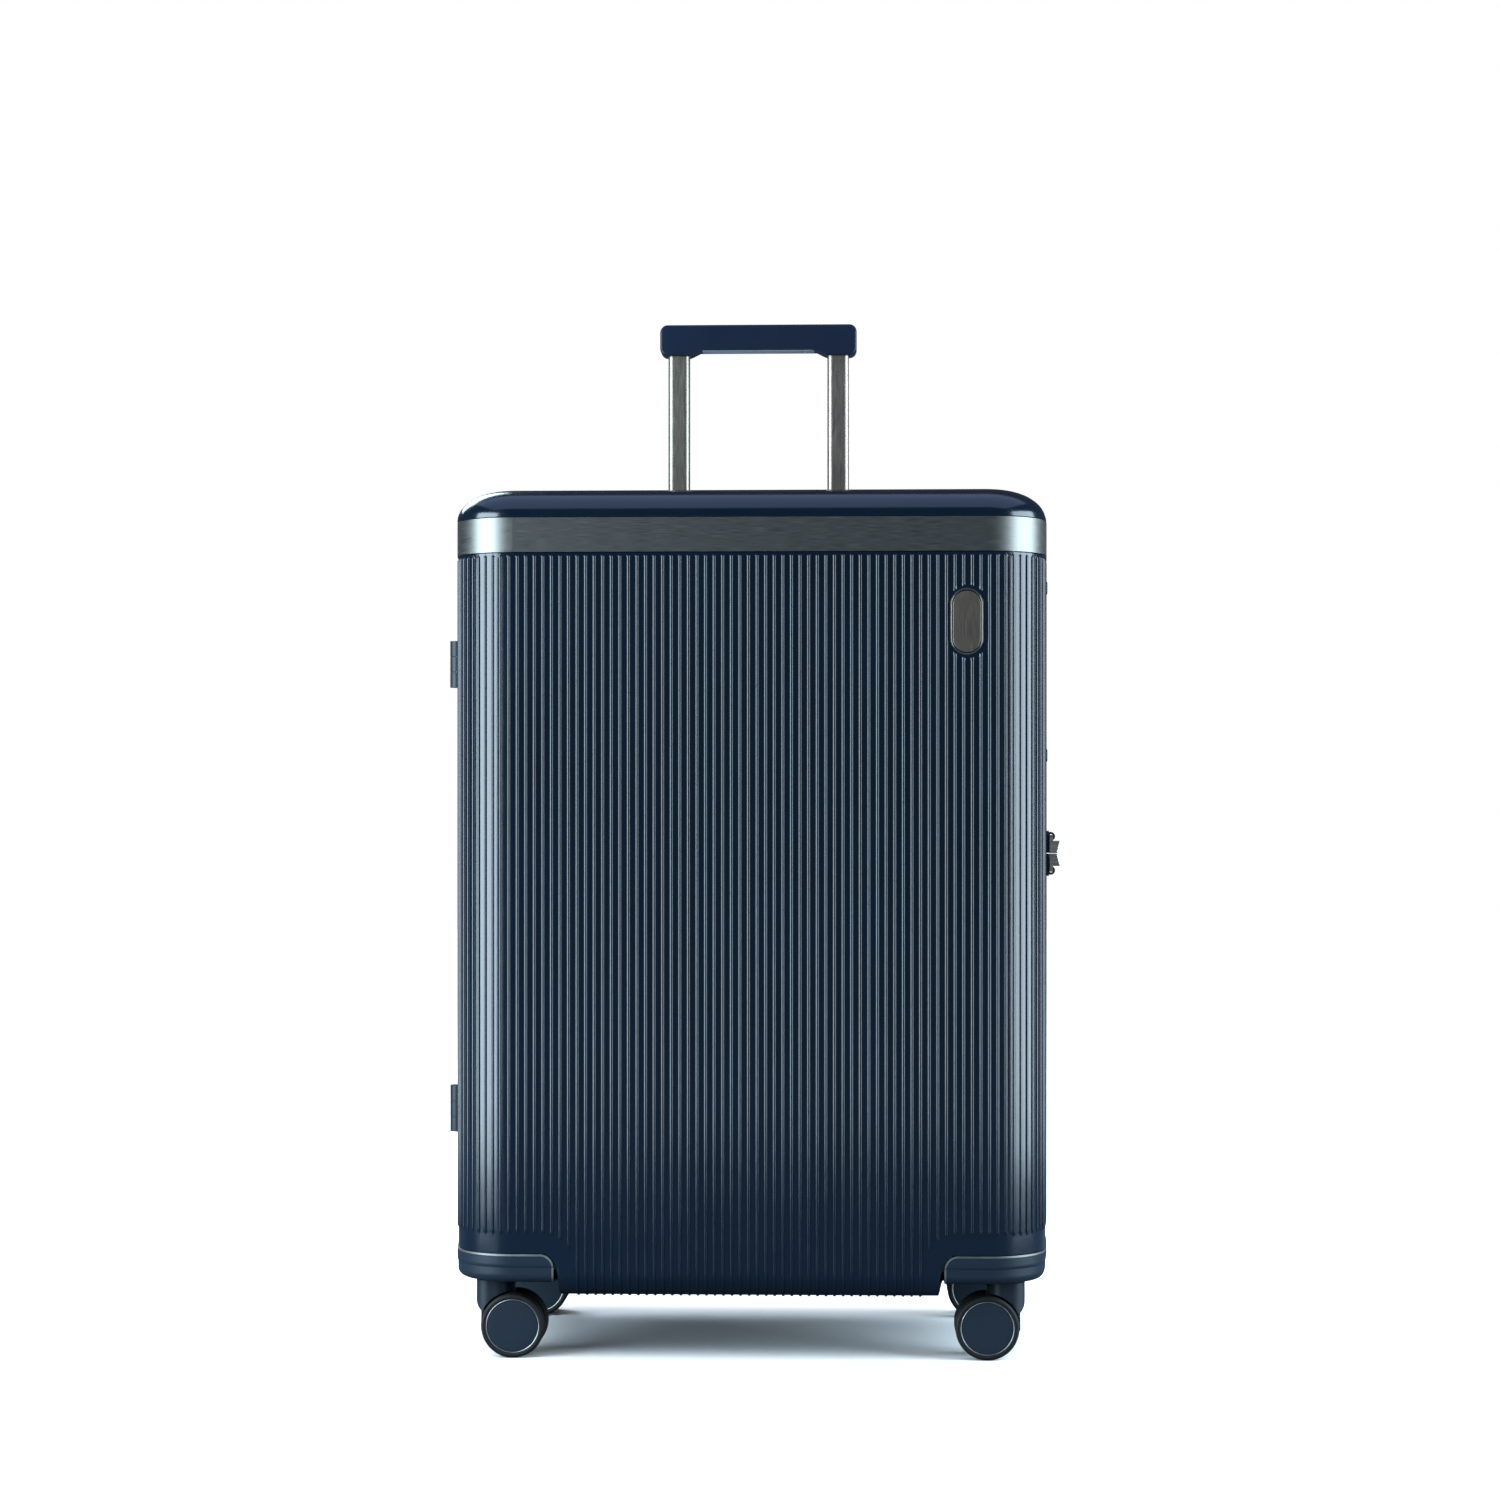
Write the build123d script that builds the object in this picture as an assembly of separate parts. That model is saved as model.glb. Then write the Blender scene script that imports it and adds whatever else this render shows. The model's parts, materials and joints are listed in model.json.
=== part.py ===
"""Hard shell suitcase on four double casters, with a pull-out handle.

Frame: origin on the floor, under the middle of the case. +Z up, the front face looks
along -Y, +X to the right. The case opens at y = 0, on hinges at its left side.
Millimetres. One STEP file per node in parts/.
"""
from build123d import *
from functools import lru_cache
from math import asin, degrees
import os

# ---- case ----
HALF_WIDTH = 261.5          # at the zipper, where the sides bulge most
HALF_DEPTH = 150.0
FLAT_HALF_WIDTH = 202.0     # half width of the flat front
CORNER_R = 54.0             # plan radius of the upright corners
TOP_Z = 750.0
TOP_EDGE_RUN = 43.0         # the top edge is a quarter ellipse: this far in ...
TOP_EDGE_DROP = 26.0        # ... and this far down
CORNER_BOTTOM_Z = 68.0      # underside over the casters
BELLY_BOTTOM_Z = 55.0       # underside between the casters
BELLY_HALF_WIDTH = 164.0
BOTTOM_EDGE_R = 20.0        # under the belly
STEP_Z = 78.0               # top of the corners' lower tier
STEP_IN_FRONT, STEP_IN_SIDE = 0.8, 4.1
STEP_EDGE_R, TIER_EDGE_R = 6.0, 7.0
WALL = 3.2
SEAM_HALF_GAP = 5.0         # each shell stops this far from the zipper plane

# ---- fittings let into the shells ----
INLAY_THICK = 1.5
INLAY_BED = 1.7             # depth of the bed that an inlay sits in
INLAY_GAP = 0.5
BAND_Z = (693.3, 722.7)
GUARD_TOP_Z = 92.5
GUARD_INNER_X = 167.0
GUARD_CORNER_R = 11.5
TRIM_WIDTH = 1.6
BADGE_X, BADGE_Z = 186.0, 633.0
BADGE_WIDTH, BADGE_HEIGHT = 28.0, 57.0

# ---- zipper and lining ----
TEETH_INSET = 1.2
TAPE_THICK = 1.2
TAPE_WIDTH = 14.0
TEETH_WIDTH = 2.8
ZIPPER_HALF_GAP = 0.3
LINING_INSET = 4.6
LINING_THICK = 1.2
LINING_START_Y = 3.0
REAR_LINING_Y = 100.0       # the rear lining's panel, in front of the handle channels
DIVIDER_Y = 15.0

# ---- hinges ----
HINGE_X = -269.0
HINGE_R = 7.0
HINGE_PIN_R = 2.5
HINGE_HEIGHT = 42.0
HINGE_ZS = (203.0, 605.0)
RUNNING = 0.05              # radial clearance of a running fit

# ---- pull-out handle ----
TUBE_X, TUBE_Y = 75.0, 118.0
TUBE_WIDTH, TUBE_DEPTH, TUBE_R = 20.3, 14.0, 5.0
TUBE_WALL = 1.3
TUBE_Z = (500.0, 911.0)
CHANNEL_Z = (110.0, 716.0)
CHANNEL_WALL = 1.6
SLIDE_GAP = 0.4
GRIP_HALF_WIDTH = 92.5
GRIP_HALF_DEPTH = 12.0
GRIP_Z = (901.0, 930.0)
GRIP_MIDDLE_Z = 906.0       # underside of the finger recess
BEZEL_HALF_WIDTH, BEZEL_HALF_DEPTH = 101.0, 17.0
BEZEL_Z = 716.0
RECESS_FLOOR_Z = 719.0
BUTTON_HALF_WIDTH, BUTTON_HALF_DEPTH = 14.0, 6.0

# ---- lock ----
LOCK_Y = (15.5, 41.5)
LOCK_Z = (352.0, 452.0)
LOCK_X = (244.0, 260.6)
DIAL_R, DIAL_THICK, DIAL_X = 8.0, 5.5, 253.4
DIAL_ZS = (391.0, 400.0, 409.0)
LOCK_BUTTON_Z = (358.0, 379.0)

# ---- zip sliders ----
SLIDERS_Z = 434.0
SLIDER_X = 262.2
TAB_LENGTH = 11.0
SLIDER_END_GAP = 0.4        # from the plane where the two sliders meet
TAB_TIP_GAP = 0.3
TAB_X = (265.8, 272.6)      # back and front of a tab at its tip
TAB_FLARE = 2.6             # it widens outwards this much towards its root
TAB_LOOP_R = 4.0

# ---- casters ----
CASTER_X, CASTER_Y = 221.0, 108.0
CASTER_TRAIL = 16.5
WHEEL_R, WHEEL_THICK = 27.5, 14.0
HUB_R = 23.0
WHEEL_INNER_Y = 7.3         # from the middle plane to a wheel's inner face
WEB_HALF = 6.0
FENDER_R = 29.3
FORK_OUTER = 16.3           # fender's outer face, from the swivel axis
FENDER_TAIL_R = 13.3        # its outer face curves in towards the wheel
FORK_HALF_DEPTH = 17.0
FORK_TOP_Z = 66.5
STEM_R, AXLE_R = 4.0, 3.0
STEM_TOP_Z = 98.0

MOUNT_BOSS_R, MOUNT_FLANGE_R = 9.0, 24.0

# ---- carry handles ----
BAIL_LENGTH, BAIL_REACH = 140.0, 34.0
PIVOT_R = 2.0
TOP_BAIL_Y, TOP_BAIL_LIFT = 38.0, 6.5
SIDE_BAIL_Y, SIDE_BAIL_Z, SIDE_BAIL_SINK = 56.0, 600.0, -2.2
STRAP_Y = 16.0
INSERT_HALF_WIDTH, INSERT_HALF_DEPTH, SCREW_X = 53.0, 9.0, 42.0

BIG = 400.0


def box(x, y, z):
    """A box between two values on each axis."""
    size = (x[1] - x[0], y[1] - y[0], z[1] - z[0])
    middle = ((x[0] + x[1]) / 2, (y[0] + y[1]) / 2, (z[0] + z[1]) / 2)
    return Pos(*middle) * Box(*size)


def rod(x, y, z, radius, axis=Axis.Z):
    """A cylinder along one axis: that axis's argument is a pair, the others are numbers."""
    if axis == Axis.Z:
        return Pos(x, y, sum(z) / 2) * Cylinder(radius, z[1] - z[0])
    if axis == Axis.Y:
        return Pos(x, sum(y) / 2, z) * Rot(90, 0, 0) * Cylinder(radius, y[1] - y[0])
    return Pos(sum(x) / 2, y, z) * Rot(0, 90, 0) * Cylinder(radius, x[1] - x[0])


def slot_bar(width, depth, radius, z):
    """An upright bar of rounded rectangular section."""
    return extrude(Pos(0, 0, z[0]) * RectangleRounded(width, depth, radius), amount=z[1] - z[0])


def group(shapes):
    """Several separate solids as one node."""
    return shapes[0] + shapes[1:]


def both_sides(shape):
    """The shape and its mirror image in x."""
    return shape + mirror(shape, about=Plane.YZ)


# ---- the case's rounded box, at any inset ----
def plan_face(inset):
    """Plan outline: flat front and back, round corners and slightly bulging sides, all tangent."""
    corner_y = HALF_DEPTH - CORNER_R
    reach = HALF_WIDTH - FLAT_HALF_WIDTH
    # radius of the side whose arc is tangent to both corner arcs
    side_r = (corner_y ** 2 + reach ** 2 - CORNER_R ** 2) / (2 * (reach - CORNER_R))
    turn = degrees(asin(corner_y / (side_r - CORNER_R)))
    side = CenterArc((HALF_WIDTH - side_r, 0), side_r - inset, -turn, 2 * turn)
    corner = CenterArc((FLAT_HALF_WIDTH, -corner_y), CORNER_R - inset, -90, 90 - turn)
    flat = Line((-FLAT_HALF_WIDTH, inset - HALF_DEPTH), (FLAT_HALF_WIDTH, inset - HALF_DEPTH))
    half = [corner, side, mirror(corner, about=Plane.XZ)]
    return make_face([flat, mirror(flat, about=Plane.XZ)] + half
                     + [mirror(edge, about=Plane.YZ) for edge in half])


def rounded_box(inset, bottom, edge_r):
    """The case as one solid with a flat underside at bottom, moved in by inset all round."""
    straight = 10.0
    run, drop = TOP_EDGE_RUN - inset, TOP_EDGE_DROP - inset
    flatten = drop / run
    crown_z = TOP_Z - TOP_EDGE_DROP - straight * flatten
    crown = extrude(plan_face(inset), amount=run + straight)
    crown = fillet(crown.faces().sort_by(Axis.Z)[-1].edges(), run)
    crown = Pos(0, 0, crown_z) * scale(crown, by=(1, 1, flatten))
    wall = extrude(Pos(0, 0, bottom + inset) * plan_face(inset), amount=crown_z - bottom - inset)
    wall = fillet(wall.faces().sort_by(Axis.Z)[0].edges(), max(edge_r - inset, 0.5))
    return wall + crown


@lru_cache(maxsize=None)
def case_solid(inset):
    """The case's outer form, moved in by inset: high over the casters, low between them."""
    belly_x = BELLY_HALF_WIDTH - inset
    belly = rounded_box(inset, BELLY_BOTTOM_Z, BOTTOM_EDGE_R) & box((-belly_x, belly_x), (-BIG, BIG), (0, 300))
    low = CORNER_BOTTOM_Z + inset
    tier_x = HALF_WIDTH - STEP_IN_SIDE - inset
    tier = extrude(Pos(0, 0, low) * plan_face(STEP_IN_FRONT + inset), amount=STEP_Z + 20 - low)
    tier &= box((-tier_x, tier_x), (-BIG, BIG), (0, 300))
    tier = fillet(tier.faces().sort_by(Axis.Z)[0].edges(), max(TIER_EDGE_R - inset, 0.5))
    return rounded_box(inset, STEP_Z, STEP_EDGE_R) + tier + belly


@lru_cache(maxsize=None)
def skin(outer, inner):
    """The layer between two insets."""
    return case_solid(outer) - case_solid(inner)


def rear_of(shape, start, stop=BIG):
    return shape & box((-BIG, BIG), (start, stop), (0, 1000))


def front_of(shape, start, stop=BIG):
    return shape & box((-BIG, BIG), (-stop, -start), (0, 1000))


def guard_zone(grow):
    """Where the corner guards lie, seen from the front, grown by grow."""
    x, z = GUARD_INNER_X - grow, GUARD_TOP_Z + grow
    zone = box((x, BIG), (-BIG, BIG), (0, z))
    inner_edge = zone.edges().filter_by(Axis.Y).sort_by(Axis.X)[0:2].sort_by(Axis.Z)[-1]
    return both_sides(fillet(inner_edge, GUARD_CORNER_R + grow))


def band_zone(grow):
    return box((-BIG, BIG), (-BIG, BIG), (BAND_Z[0] - grow, BAND_Z[1] + grow))


def badge(grow, thick, y):
    """The plate's outline: two round ends, standing out of the front face."""
    outline = RectangleRounded(BADGE_WIDTH + 2 * grow, BADGE_HEIGHT + 2 * grow,
                               BADGE_WIDTH / 2 + grow - 0.01)
    return Pos(BADGE_X, y, BADGE_Z) * Rot(90, 0, 0) * extrude(outline, amount=thick)


def caster_places():
    """Name ending and swivel axis of each caster: front or rear, left or right."""
    for end, side_y in (("front", -1), ("rear", 1)):
        for side, side_x in (("left", -1), ("right", 1)):
            yield f"{end}_{side}", side_x * CASTER_X, side_y * CASTER_Y


# ---- shells and what is let into them ----
def shells():
    inlay_beds = (guard_zone(INLAY_GAP) + band_zone(INLAY_GAP)) - case_solid(INLAY_BED)
    whole = skin(0.0, WALL) - inlay_beds
    for _, x, y in caster_places():
        whole -= rod(x, y, (50, 90), MOUNT_BOSS_R + 0.3)
    front = front_of(whole, SEAM_HALF_GAP) - badge(INLAY_GAP, INLAY_BED + 1, -HALF_DEPTH + INLAY_BED)
    rear = rear_of(whole, SEAM_HALF_GAP)
    rear -= bezel_block(0.3)
    rear -= box((LOCK_X[0], BIG), (LOCK_Y[0] - 0.3, LOCK_Y[1] + 0.3), (LOCK_Z[0] - 0.3, LOCK_Z[1] + 0.3))
    return front, rear


def bands():
    ring = skin(0.0, INLAY_THICK) & band_zone(0)
    return front_of(ring, SEAM_HALF_GAP), rear_of(ring, SEAM_HALF_GAP)


def guards():
    plate = skin(0.0, INLAY_THICK) & guard_zone(-TRIM_WIDTH - 0.2)
    for _, x, y in caster_places():
        plate -= rod(x, y, (50, 90), MOUNT_BOSS_R + 0.3)
    return front_of(plate, SEAM_HALF_GAP), rear_of(plate, SEAM_HALF_GAP)


def guard_trims():
    strip = skin(0.0, INLAY_THICK) & (guard_zone(0) - guard_zone(-TRIM_WIDTH))
    return front_of(strip, SEAM_HALF_GAP), rear_of(strip, SEAM_HALF_GAP)


def zipper_tapes():
    tape = skin(WALL, WALL + TAPE_THICK)
    teeth = skin(TEETH_INSET, WALL)
    front = front_of(tape, ZIPPER_HALF_GAP, TAPE_WIDTH) + front_of(teeth, ZIPPER_HALF_GAP, TEETH_WIDTH)
    rear = rear_of(tape, ZIPPER_HALF_GAP, TAPE_WIDTH) + rear_of(teeth, ZIPPER_HALF_GAP, TEETH_WIDTH)
    return front, rear


def lining_covers(thick, with_lock):
    """Boxes that a lining goes round: the caster mounts and, in the rear, the lock."""
    x, y, z = CASTER_X - 30, CASTER_Y - 30, STEM_TOP_Z + 6
    mounts = box((x - thick, BIG), (y - thick, BIG), (0, z + thick))
    covers = both_sides(mounts + mirror(mounts, about=Plane.XZ))
    if with_lock:
        covers += box((LOCK_X[0] - 4 - thick, BIG), (0, LOCK_Y[1] + 4 + thick),
                      (LOCK_Z[0] - 6 - thick, LOCK_Z[1] + 6 + thick))
    return covers


def linings():
    inner_inset = LINING_INSET + LINING_THICK
    front_outer = case_solid(LINING_INSET) - lining_covers(0, False)
    front_inner = case_solid(inner_inset) - lining_covers(LINING_THICK, False)
    rear_outer = case_solid(LINING_INSET) - lining_covers(0, True)
    rear_inner = case_solid(inner_inset) - lining_covers(LINING_THICK, True)
    front = front_of(front_outer, LINING_START_Y) - front_of(front_inner, 0)
    rear = rear_of(rear_outer, LINING_START_Y, REAR_LINING_Y)
    rear -= rear_of(rear_inner, 0, REAR_LINING_Y - LINING_THICK)
    return front, rear


def divider_panel():
    """Fabric panel over the front half, clear of the lining by a seam's width."""
    return front_of(case_solid(LINING_INSET + LINING_THICK + 0.4), DIVIDER_Y, DIVIDER_Y + 3)


def caster_mounts():
    """Flanged bosses on the shells' floors, over each caster, one pair in front and one behind."""
    floor_z = CORNER_BOTTOM_Z + WALL
    rear = []
    for _, x, y in caster_places():
        if y > 0:
            inside = rod(x, y, (floor_z, floor_z + 4), MOUNT_FLANGE_R)
            for rib_turn in range(0, 180, 60):
                rib = Rot(0, 0, rib_turn) * box((-MOUNT_FLANGE_R + 3, MOUNT_FLANGE_R - 3), (-1.5, 1.5),
                                                (floor_z + 4, STEM_TOP_Z - 8))
                inside += Pos(x, y, 0) * rib
            boss = rod(x, y, (CORNER_BOTTOM_Z + 0.3, STEM_TOP_Z + 3), MOUNT_BOSS_R)
            boss += inside & case_solid(WALL)
            rear.append(boss - rod(x, y, (0, STEM_TOP_Z + 0.5), STEM_R + RUNNING))
    rear = group(rear)
    return mirror(rear, about=Plane.XZ), rear


# ---- hinges at the left side ----
def hinge_leaf(center_z, side, knuckles):
    """One leaf: a plate on the shell's side and barrels round the pin. side is -1 front, 1 rear."""
    low, high = center_z - HINGE_HEIGHT / 2, center_z + HINGE_HEIGHT / 2
    near, far = sorted((side * 8.5, side * 30))
    leaf = box((HINGE_X + 3.6, -HALF_WIDTH - 0.05), (near, far), (low, high))
    root = sorted((0, side * 9.5))
    for bottom, top in knuckles:
        z = (center_z + bottom, center_z + top)
        leaf += box((HINGE_X + 3.6, -HALF_WIDTH - 0.3), root, z)
        leaf += rod(HINGE_X, 0, z, HINGE_R)
    return leaf


def hinges():
    half, third, gap = HINGE_HEIGHT / 2, HINGE_HEIGHT / 6, 0.2
    front, rear, pins = [], [], []
    for z in HINGE_ZS:
        outer = [(-half, -third - gap), (third + gap, half)]
        rear_leaf = hinge_leaf(z, 1, outer) - rod(HINGE_X, 0, (z - 50, z + 50), HINGE_PIN_R)
        front_leaf = hinge_leaf(z, -1, [(-third + gap, third - gap)])
        front_leaf -= rod(HINGE_X, 0, (z - 50, z + 50), HINGE_PIN_R + RUNNING)
        pin = rod(HINGE_X, 0, (z - half, z + half), HINGE_PIN_R)
        rear.append(rear_leaf)
        front.append(front_leaf)
        pins.append(pin)
    return group(front), group(rear), group(pins)


# ---- pull-out handle ----
def bezel_block(grow):
    """The handle's bezel as a plain block down into the shell."""
    return Pos(0, TUBE_Y, 0) * box((-BEZEL_HALF_WIDTH - grow, BEZEL_HALF_WIDTH + grow),
                                   (-BEZEL_HALF_DEPTH - grow, BEZEL_HALF_DEPTH + grow), (BEZEL_Z, 800))


def handle_bezel():
    bezel = bezel_block(0) & case_solid(-1.0)
    recess = slot_bar(2 * GRIP_HALF_WIDTH + 5, 2 * GRIP_HALF_DEPTH + 4, 9, (RECESS_FLOOR_Z, 800))
    bezel -= Pos(0, TUBE_Y, 0) * recess
    for x in (-TUBE_X, TUBE_X):
        hole = slot_bar(TUBE_WIDTH + 2 * SLIDE_GAP, TUBE_DEPTH + 2 * SLIDE_GAP, TUBE_R, (700, 800))
        bezel -= Pos(x, TUBE_Y, 0) * hole
    return bezel


def at_tubes(shape):
    """A copy at each of the two tubes."""
    return group([Pos(x, TUBE_Y, 0) * shape for x in (-TUBE_X, TUBE_X)])


def handle_channels():
    inner = (TUBE_WIDTH + 2 * SLIDE_GAP, TUBE_DEPTH + 2 * SLIDE_GAP)
    channel = slot_bar(inner[0] + 2 * CHANNEL_WALL, inner[1] + 2 * CHANNEL_WALL, TUBE_R + CHANNEL_WALL,
                       CHANNEL_Z)
    return at_tubes(channel - slot_bar(*inner, TUBE_R, (0, 900)))


def channel_bracket():
    """Cross bar under the two channels, which closes their lower ends."""
    low = CHANNEL_Z[0]
    bar = Pos(0, TUBE_Y, 0) * box((-TUBE_X - 18, TUBE_X + 18), (-12, 12), (low - 6, low))
    plug = slot_bar(TUBE_WIDTH, TUBE_DEPTH, TUBE_R - 0.2, (low - 1, low + 14))
    for x in (-TUBE_X, TUBE_X):
        bar += Pos(x, TUBE_Y, 0) * plug
    foot = Pos(0, TUBE_Y, 0) * box((-TUBE_X - 18, TUBE_X + 18), (12, 28.5), (low - 6, low - 2))
    return bar + foot


def handle_tubes():
    tube = slot_bar(TUBE_WIDTH, TUBE_DEPTH, TUBE_R, TUBE_Z)
    tube -= slot_bar(TUBE_WIDTH - 2 * TUBE_WALL, TUBE_DEPTH - 2 * TUBE_WALL, TUBE_R - TUBE_WALL, (0, 1000))
    return at_tubes(tube)


def tube_feet():
    """Plastic guides at the tubes' lower ends, with the lock pins drawn in."""
    foot = slot_bar(TUBE_WIDTH + 0.4, TUBE_DEPTH + 0.4, TUBE_R, (TUBE_Z[0] - 22, TUBE_Z[0]))
    foot += slot_bar(TUBE_WIDTH - 2 * TUBE_WALL, TUBE_DEPTH - 2 * TUBE_WALL, TUBE_R - TUBE_WALL,
                     (TUBE_Z[0] - 1, TUBE_Z[0] + 10))
    foot -= rod(0, 0, (TUBE_Z[0] - 10, TUBE_Z[0] + 20), 3.4)
    return at_tubes(foot)


def grip_outline():
    """The grip from the front: a bar with a shallow finger recess under its middle."""
    low, high = GRIP_Z
    step_out, step_in = 65.0, 55.0
    points = [(-GRIP_HALF_WIDTH, low), (-step_out, low), (-step_in, GRIP_MIDDLE_Z), (step_in, GRIP_MIDDLE_Z),
              (step_out, low), (GRIP_HALF_WIDTH, low), (GRIP_HALF_WIDTH, high), (-GRIP_HALF_WIDTH, high)]
    return make_face(Polyline(*points, close=True))


def handle_grip():
    bar = Pos(0, TUBE_Y + GRIP_HALF_DEPTH, 0) * extrude(Plane.XZ * grip_outline(), amount=2 * GRIP_HALF_DEPTH)
    ends = bar.edges().filter_by(Axis.Y).sort_by(Axis.X)
    bar = fillet(ends[:2] + ends[-2:], 7)
    bar = fillet(bar.faces().sort_by(Axis.Z)[-1].edges(), 2.5)
    low, high = GRIP_Z
    cavity = box((-86, 86), (-7, 7), (GRIP_MIDDLE_Z + 5, high - 6))
    bar -= Pos(0, TUBE_Y, 0) * cavity
    for x in (-TUBE_X, TUBE_X):
        bar -= Pos(x, TUBE_Y, 0) * slot_bar(TUBE_WIDTH, TUBE_DEPTH, TUBE_R, (low - 1, GRIP_MIDDLE_Z + 5))
    bar -= Pos(0, TUBE_Y, 0) * box((-BUTTON_HALF_WIDTH - 0.3, BUTTON_HALF_WIDTH + 0.3),
                                   (-BUTTON_HALF_DEPTH - 0.3, BUTTON_HALF_DEPTH + 0.3), (high - 7, high + 5))
    bed = box((-INSERT_HALF_WIDTH, INSERT_HALF_WIDTH), (-INSERT_HALF_DEPTH, INSERT_HALF_DEPTH),
              (low - 5, GRIP_MIDDLE_Z + 2))
    return bar - Pos(0, TUBE_Y, 0) * bed


def grip_insert():
    """Light cover let into the grip's underside, between the tubes, with two screw holes."""
    plate = box((-INSERT_HALF_WIDTH + 0.1, INSERT_HALF_WIDTH - 0.1),
                (-INSERT_HALF_DEPTH + 0.1, INSERT_HALF_DEPTH - 0.1), (GRIP_MIDDLE_Z - 0.4, GRIP_MIDDLE_Z + 2))
    plate = fillet(plate.edges().filter_by(Axis.Z), 3)
    for x in (-SCREW_X, SCREW_X):
        plate -= rod(x, 0, (GRIP_MIDDLE_Z - 1, GRIP_MIDDLE_Z + 0.8), 3.0)
    return Pos(0, TUBE_Y, 0) * plate


def grip_screws():
    screw = rod(0, TUBE_Y, (GRIP_MIDDLE_Z - 0.2, GRIP_MIDDLE_Z + 0.8), 2.6)
    screw -= box((-1.8, 1.8), (TUBE_Y - 0.4, TUBE_Y + 0.4), (GRIP_MIDDLE_Z - 1, GRIP_MIDDLE_Z + 0.2))
    return group([Pos(x, 0, 0) * screw for x in (-SCREW_X, SCREW_X)])


def push_button():
    high = GRIP_Z[1]
    cap = Pos(0, TUBE_Y, 0) * box((-BUTTON_HALF_WIDTH, BUTTON_HALF_WIDTH),
                                  (-BUTTON_HALF_DEPTH, BUTTON_HALF_DEPTH), (high - 8, high + 0.4))
    return fillet(cap.edges().filter_by(Axis.Z), 3)


def push_rods():
    """A yoke under the button and a rod down each tube to the lock pins."""
    yoke_z = (GRIP_Z[1] - 12, GRIP_Z[1] - 8)
    yoke = Pos(0, TUBE_Y, 0) * box((-TUBE_X - 4, TUBE_X + 4), (-4, 4), yoke_z)
    for x in (-TUBE_X, TUBE_X):
        yoke += rod(x, TUBE_Y, (TUBE_Z[0] - 4, yoke_z[1]), 3.0)
    return yoke


# ---- carry handles: low bails on pins, folded flat ----
def bail(length, reach, section):
    """A U in the XY plane, pivot line on X, its bar reach away along +Y, with pivot pins."""
    width, thick = section
    frame = box((-length / 2, length / 2), (0, reach + width / 2), (-thick / 2, thick / 2))
    inner = length / 2 - width
    frame -= box((-inner, inner), (-width, reach - width / 2), (-thick, thick))
    frame = fillet(frame.edges().filter_by(Axis.Z).sort_by(Axis.Y)[-2:], 11)
    inner_corners = frame.edges().filter_by(Axis.Z).filter_by(lambda e: abs(e.center().X) < inner + 0.5
                                                              and e.center().Y > 1)
    frame = fillet(inner_corners, 5)
    upper_edges = frame.faces().sort_by(Axis.Z)[-1].edges().filter_by(lambda e: e.center().Y > 1)
    frame = fillet(upper_edges, 2)
    for side in (-1, 1):
        frame += rod(sorted((side * inner, side * length / 2)), 0, 0, thick / 2, Axis.X)
    for side in (-1, 1):
        ends = sorted((side * (length / 2 - 1), side * (length / 2 + 7)))
        frame += rod(ends, 0, 0, PIVOT_R, Axis.X)
    return frame


def lugs(length, height, base):
    """The two blocks that hold a bail's pins, standing on base below the pivot line."""
    blocks = []
    for side in (-1, 1):
        x = sorted((side * (length / 2 + 0.5), side * (length / 2 + 13)))
        block = box(x, (-10, 10), (base, height))
        block = fillet(block.edges().filter_by(Axis.Z), 4)
        block = fillet(block.faces().sort_by(Axis.Z)[-1].edges(), 1.5)
        pocket = sorted((side * (length / 2), side * (length / 2 + 7.5)))
        blocks.append(block - rod(pocket, 0, 0, PIVOT_R + RUNNING, Axis.X))
    return group(blocks)


def on_top(shape):
    return Pos(0, TOP_BAIL_Y, TOP_Z + TOP_BAIL_LIFT) * shape


def on_side(shape):
    """Turned so that its X runs along -Z of the case and its Z looks out of the right side."""
    return Pos(HALF_WIDTH - SIDE_BAIL_SINK, SIDE_BAIL_Y, SIDE_BAIL_Z) * Rot(0, 90, 0) * shape


def top_handle_lugs():
    return on_top(lugs(BAIL_LENGTH, 5.0, -TOP_BAIL_LIFT))


def side_handle_lugs():
    return on_side(lugs(BAIL_LENGTH, 3.6, -8.0)) - case_solid(0.0)


# ---- lock at the right side ----
def lock_body():
    body = box(LOCK_X, LOCK_Y, LOCK_Z)
    body = fillet(body.edges().filter_by(Axis.X), 3)
    middle_y = sum(LOCK_Y) / 2
    for z in DIAL_ZS:
        half = DIAL_THICK / 2 + 0.3
        body -= rod(DIAL_X, middle_y, (z - half, z + half), DIAL_R + 0.4)
    body -= box((LOCK_X[1] - 6, LOCK_X[1] + 1), (middle_y - 8.3, middle_y + 8.3),
                (LOCK_BUTTON_Z[0] - 0.3, LOCK_BUTTON_Z[1] + 0.3))
    for z in (SLIDERS_Z - 8, SLIDERS_Z + 8):
        body -= box((LOCK_X[1] - 6, LOCK_X[1] + 1), (LOCK_Y[0] + 3, LOCK_Y[0] + 15), (z - 1.6, z + 1.6))
    spindle_z = (DIAL_ZS[0] - 6, DIAL_ZS[-1] + 6)
    return body + rod(DIAL_X, middle_y, spindle_z, 1.5)


def lock_dial(z):
    """A knurled wheel with ten finger notches, running on the lock's spindle."""
    half = DIAL_THICK / 2
    middle_y = sum(LOCK_Y) / 2
    wheel = rod(DIAL_X, middle_y, (z - half, z + half), DIAL_R)
    wheel -= [Pos(DIAL_X, middle_y, z) * place * Cylinder(0.9, DIAL_THICK + 1)
              for place in PolarLocations(DIAL_R + 0.2, 10)]
    return wheel - rod(DIAL_X, middle_y, (z - 9, z + 9), 1.5 + RUNNING)


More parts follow.
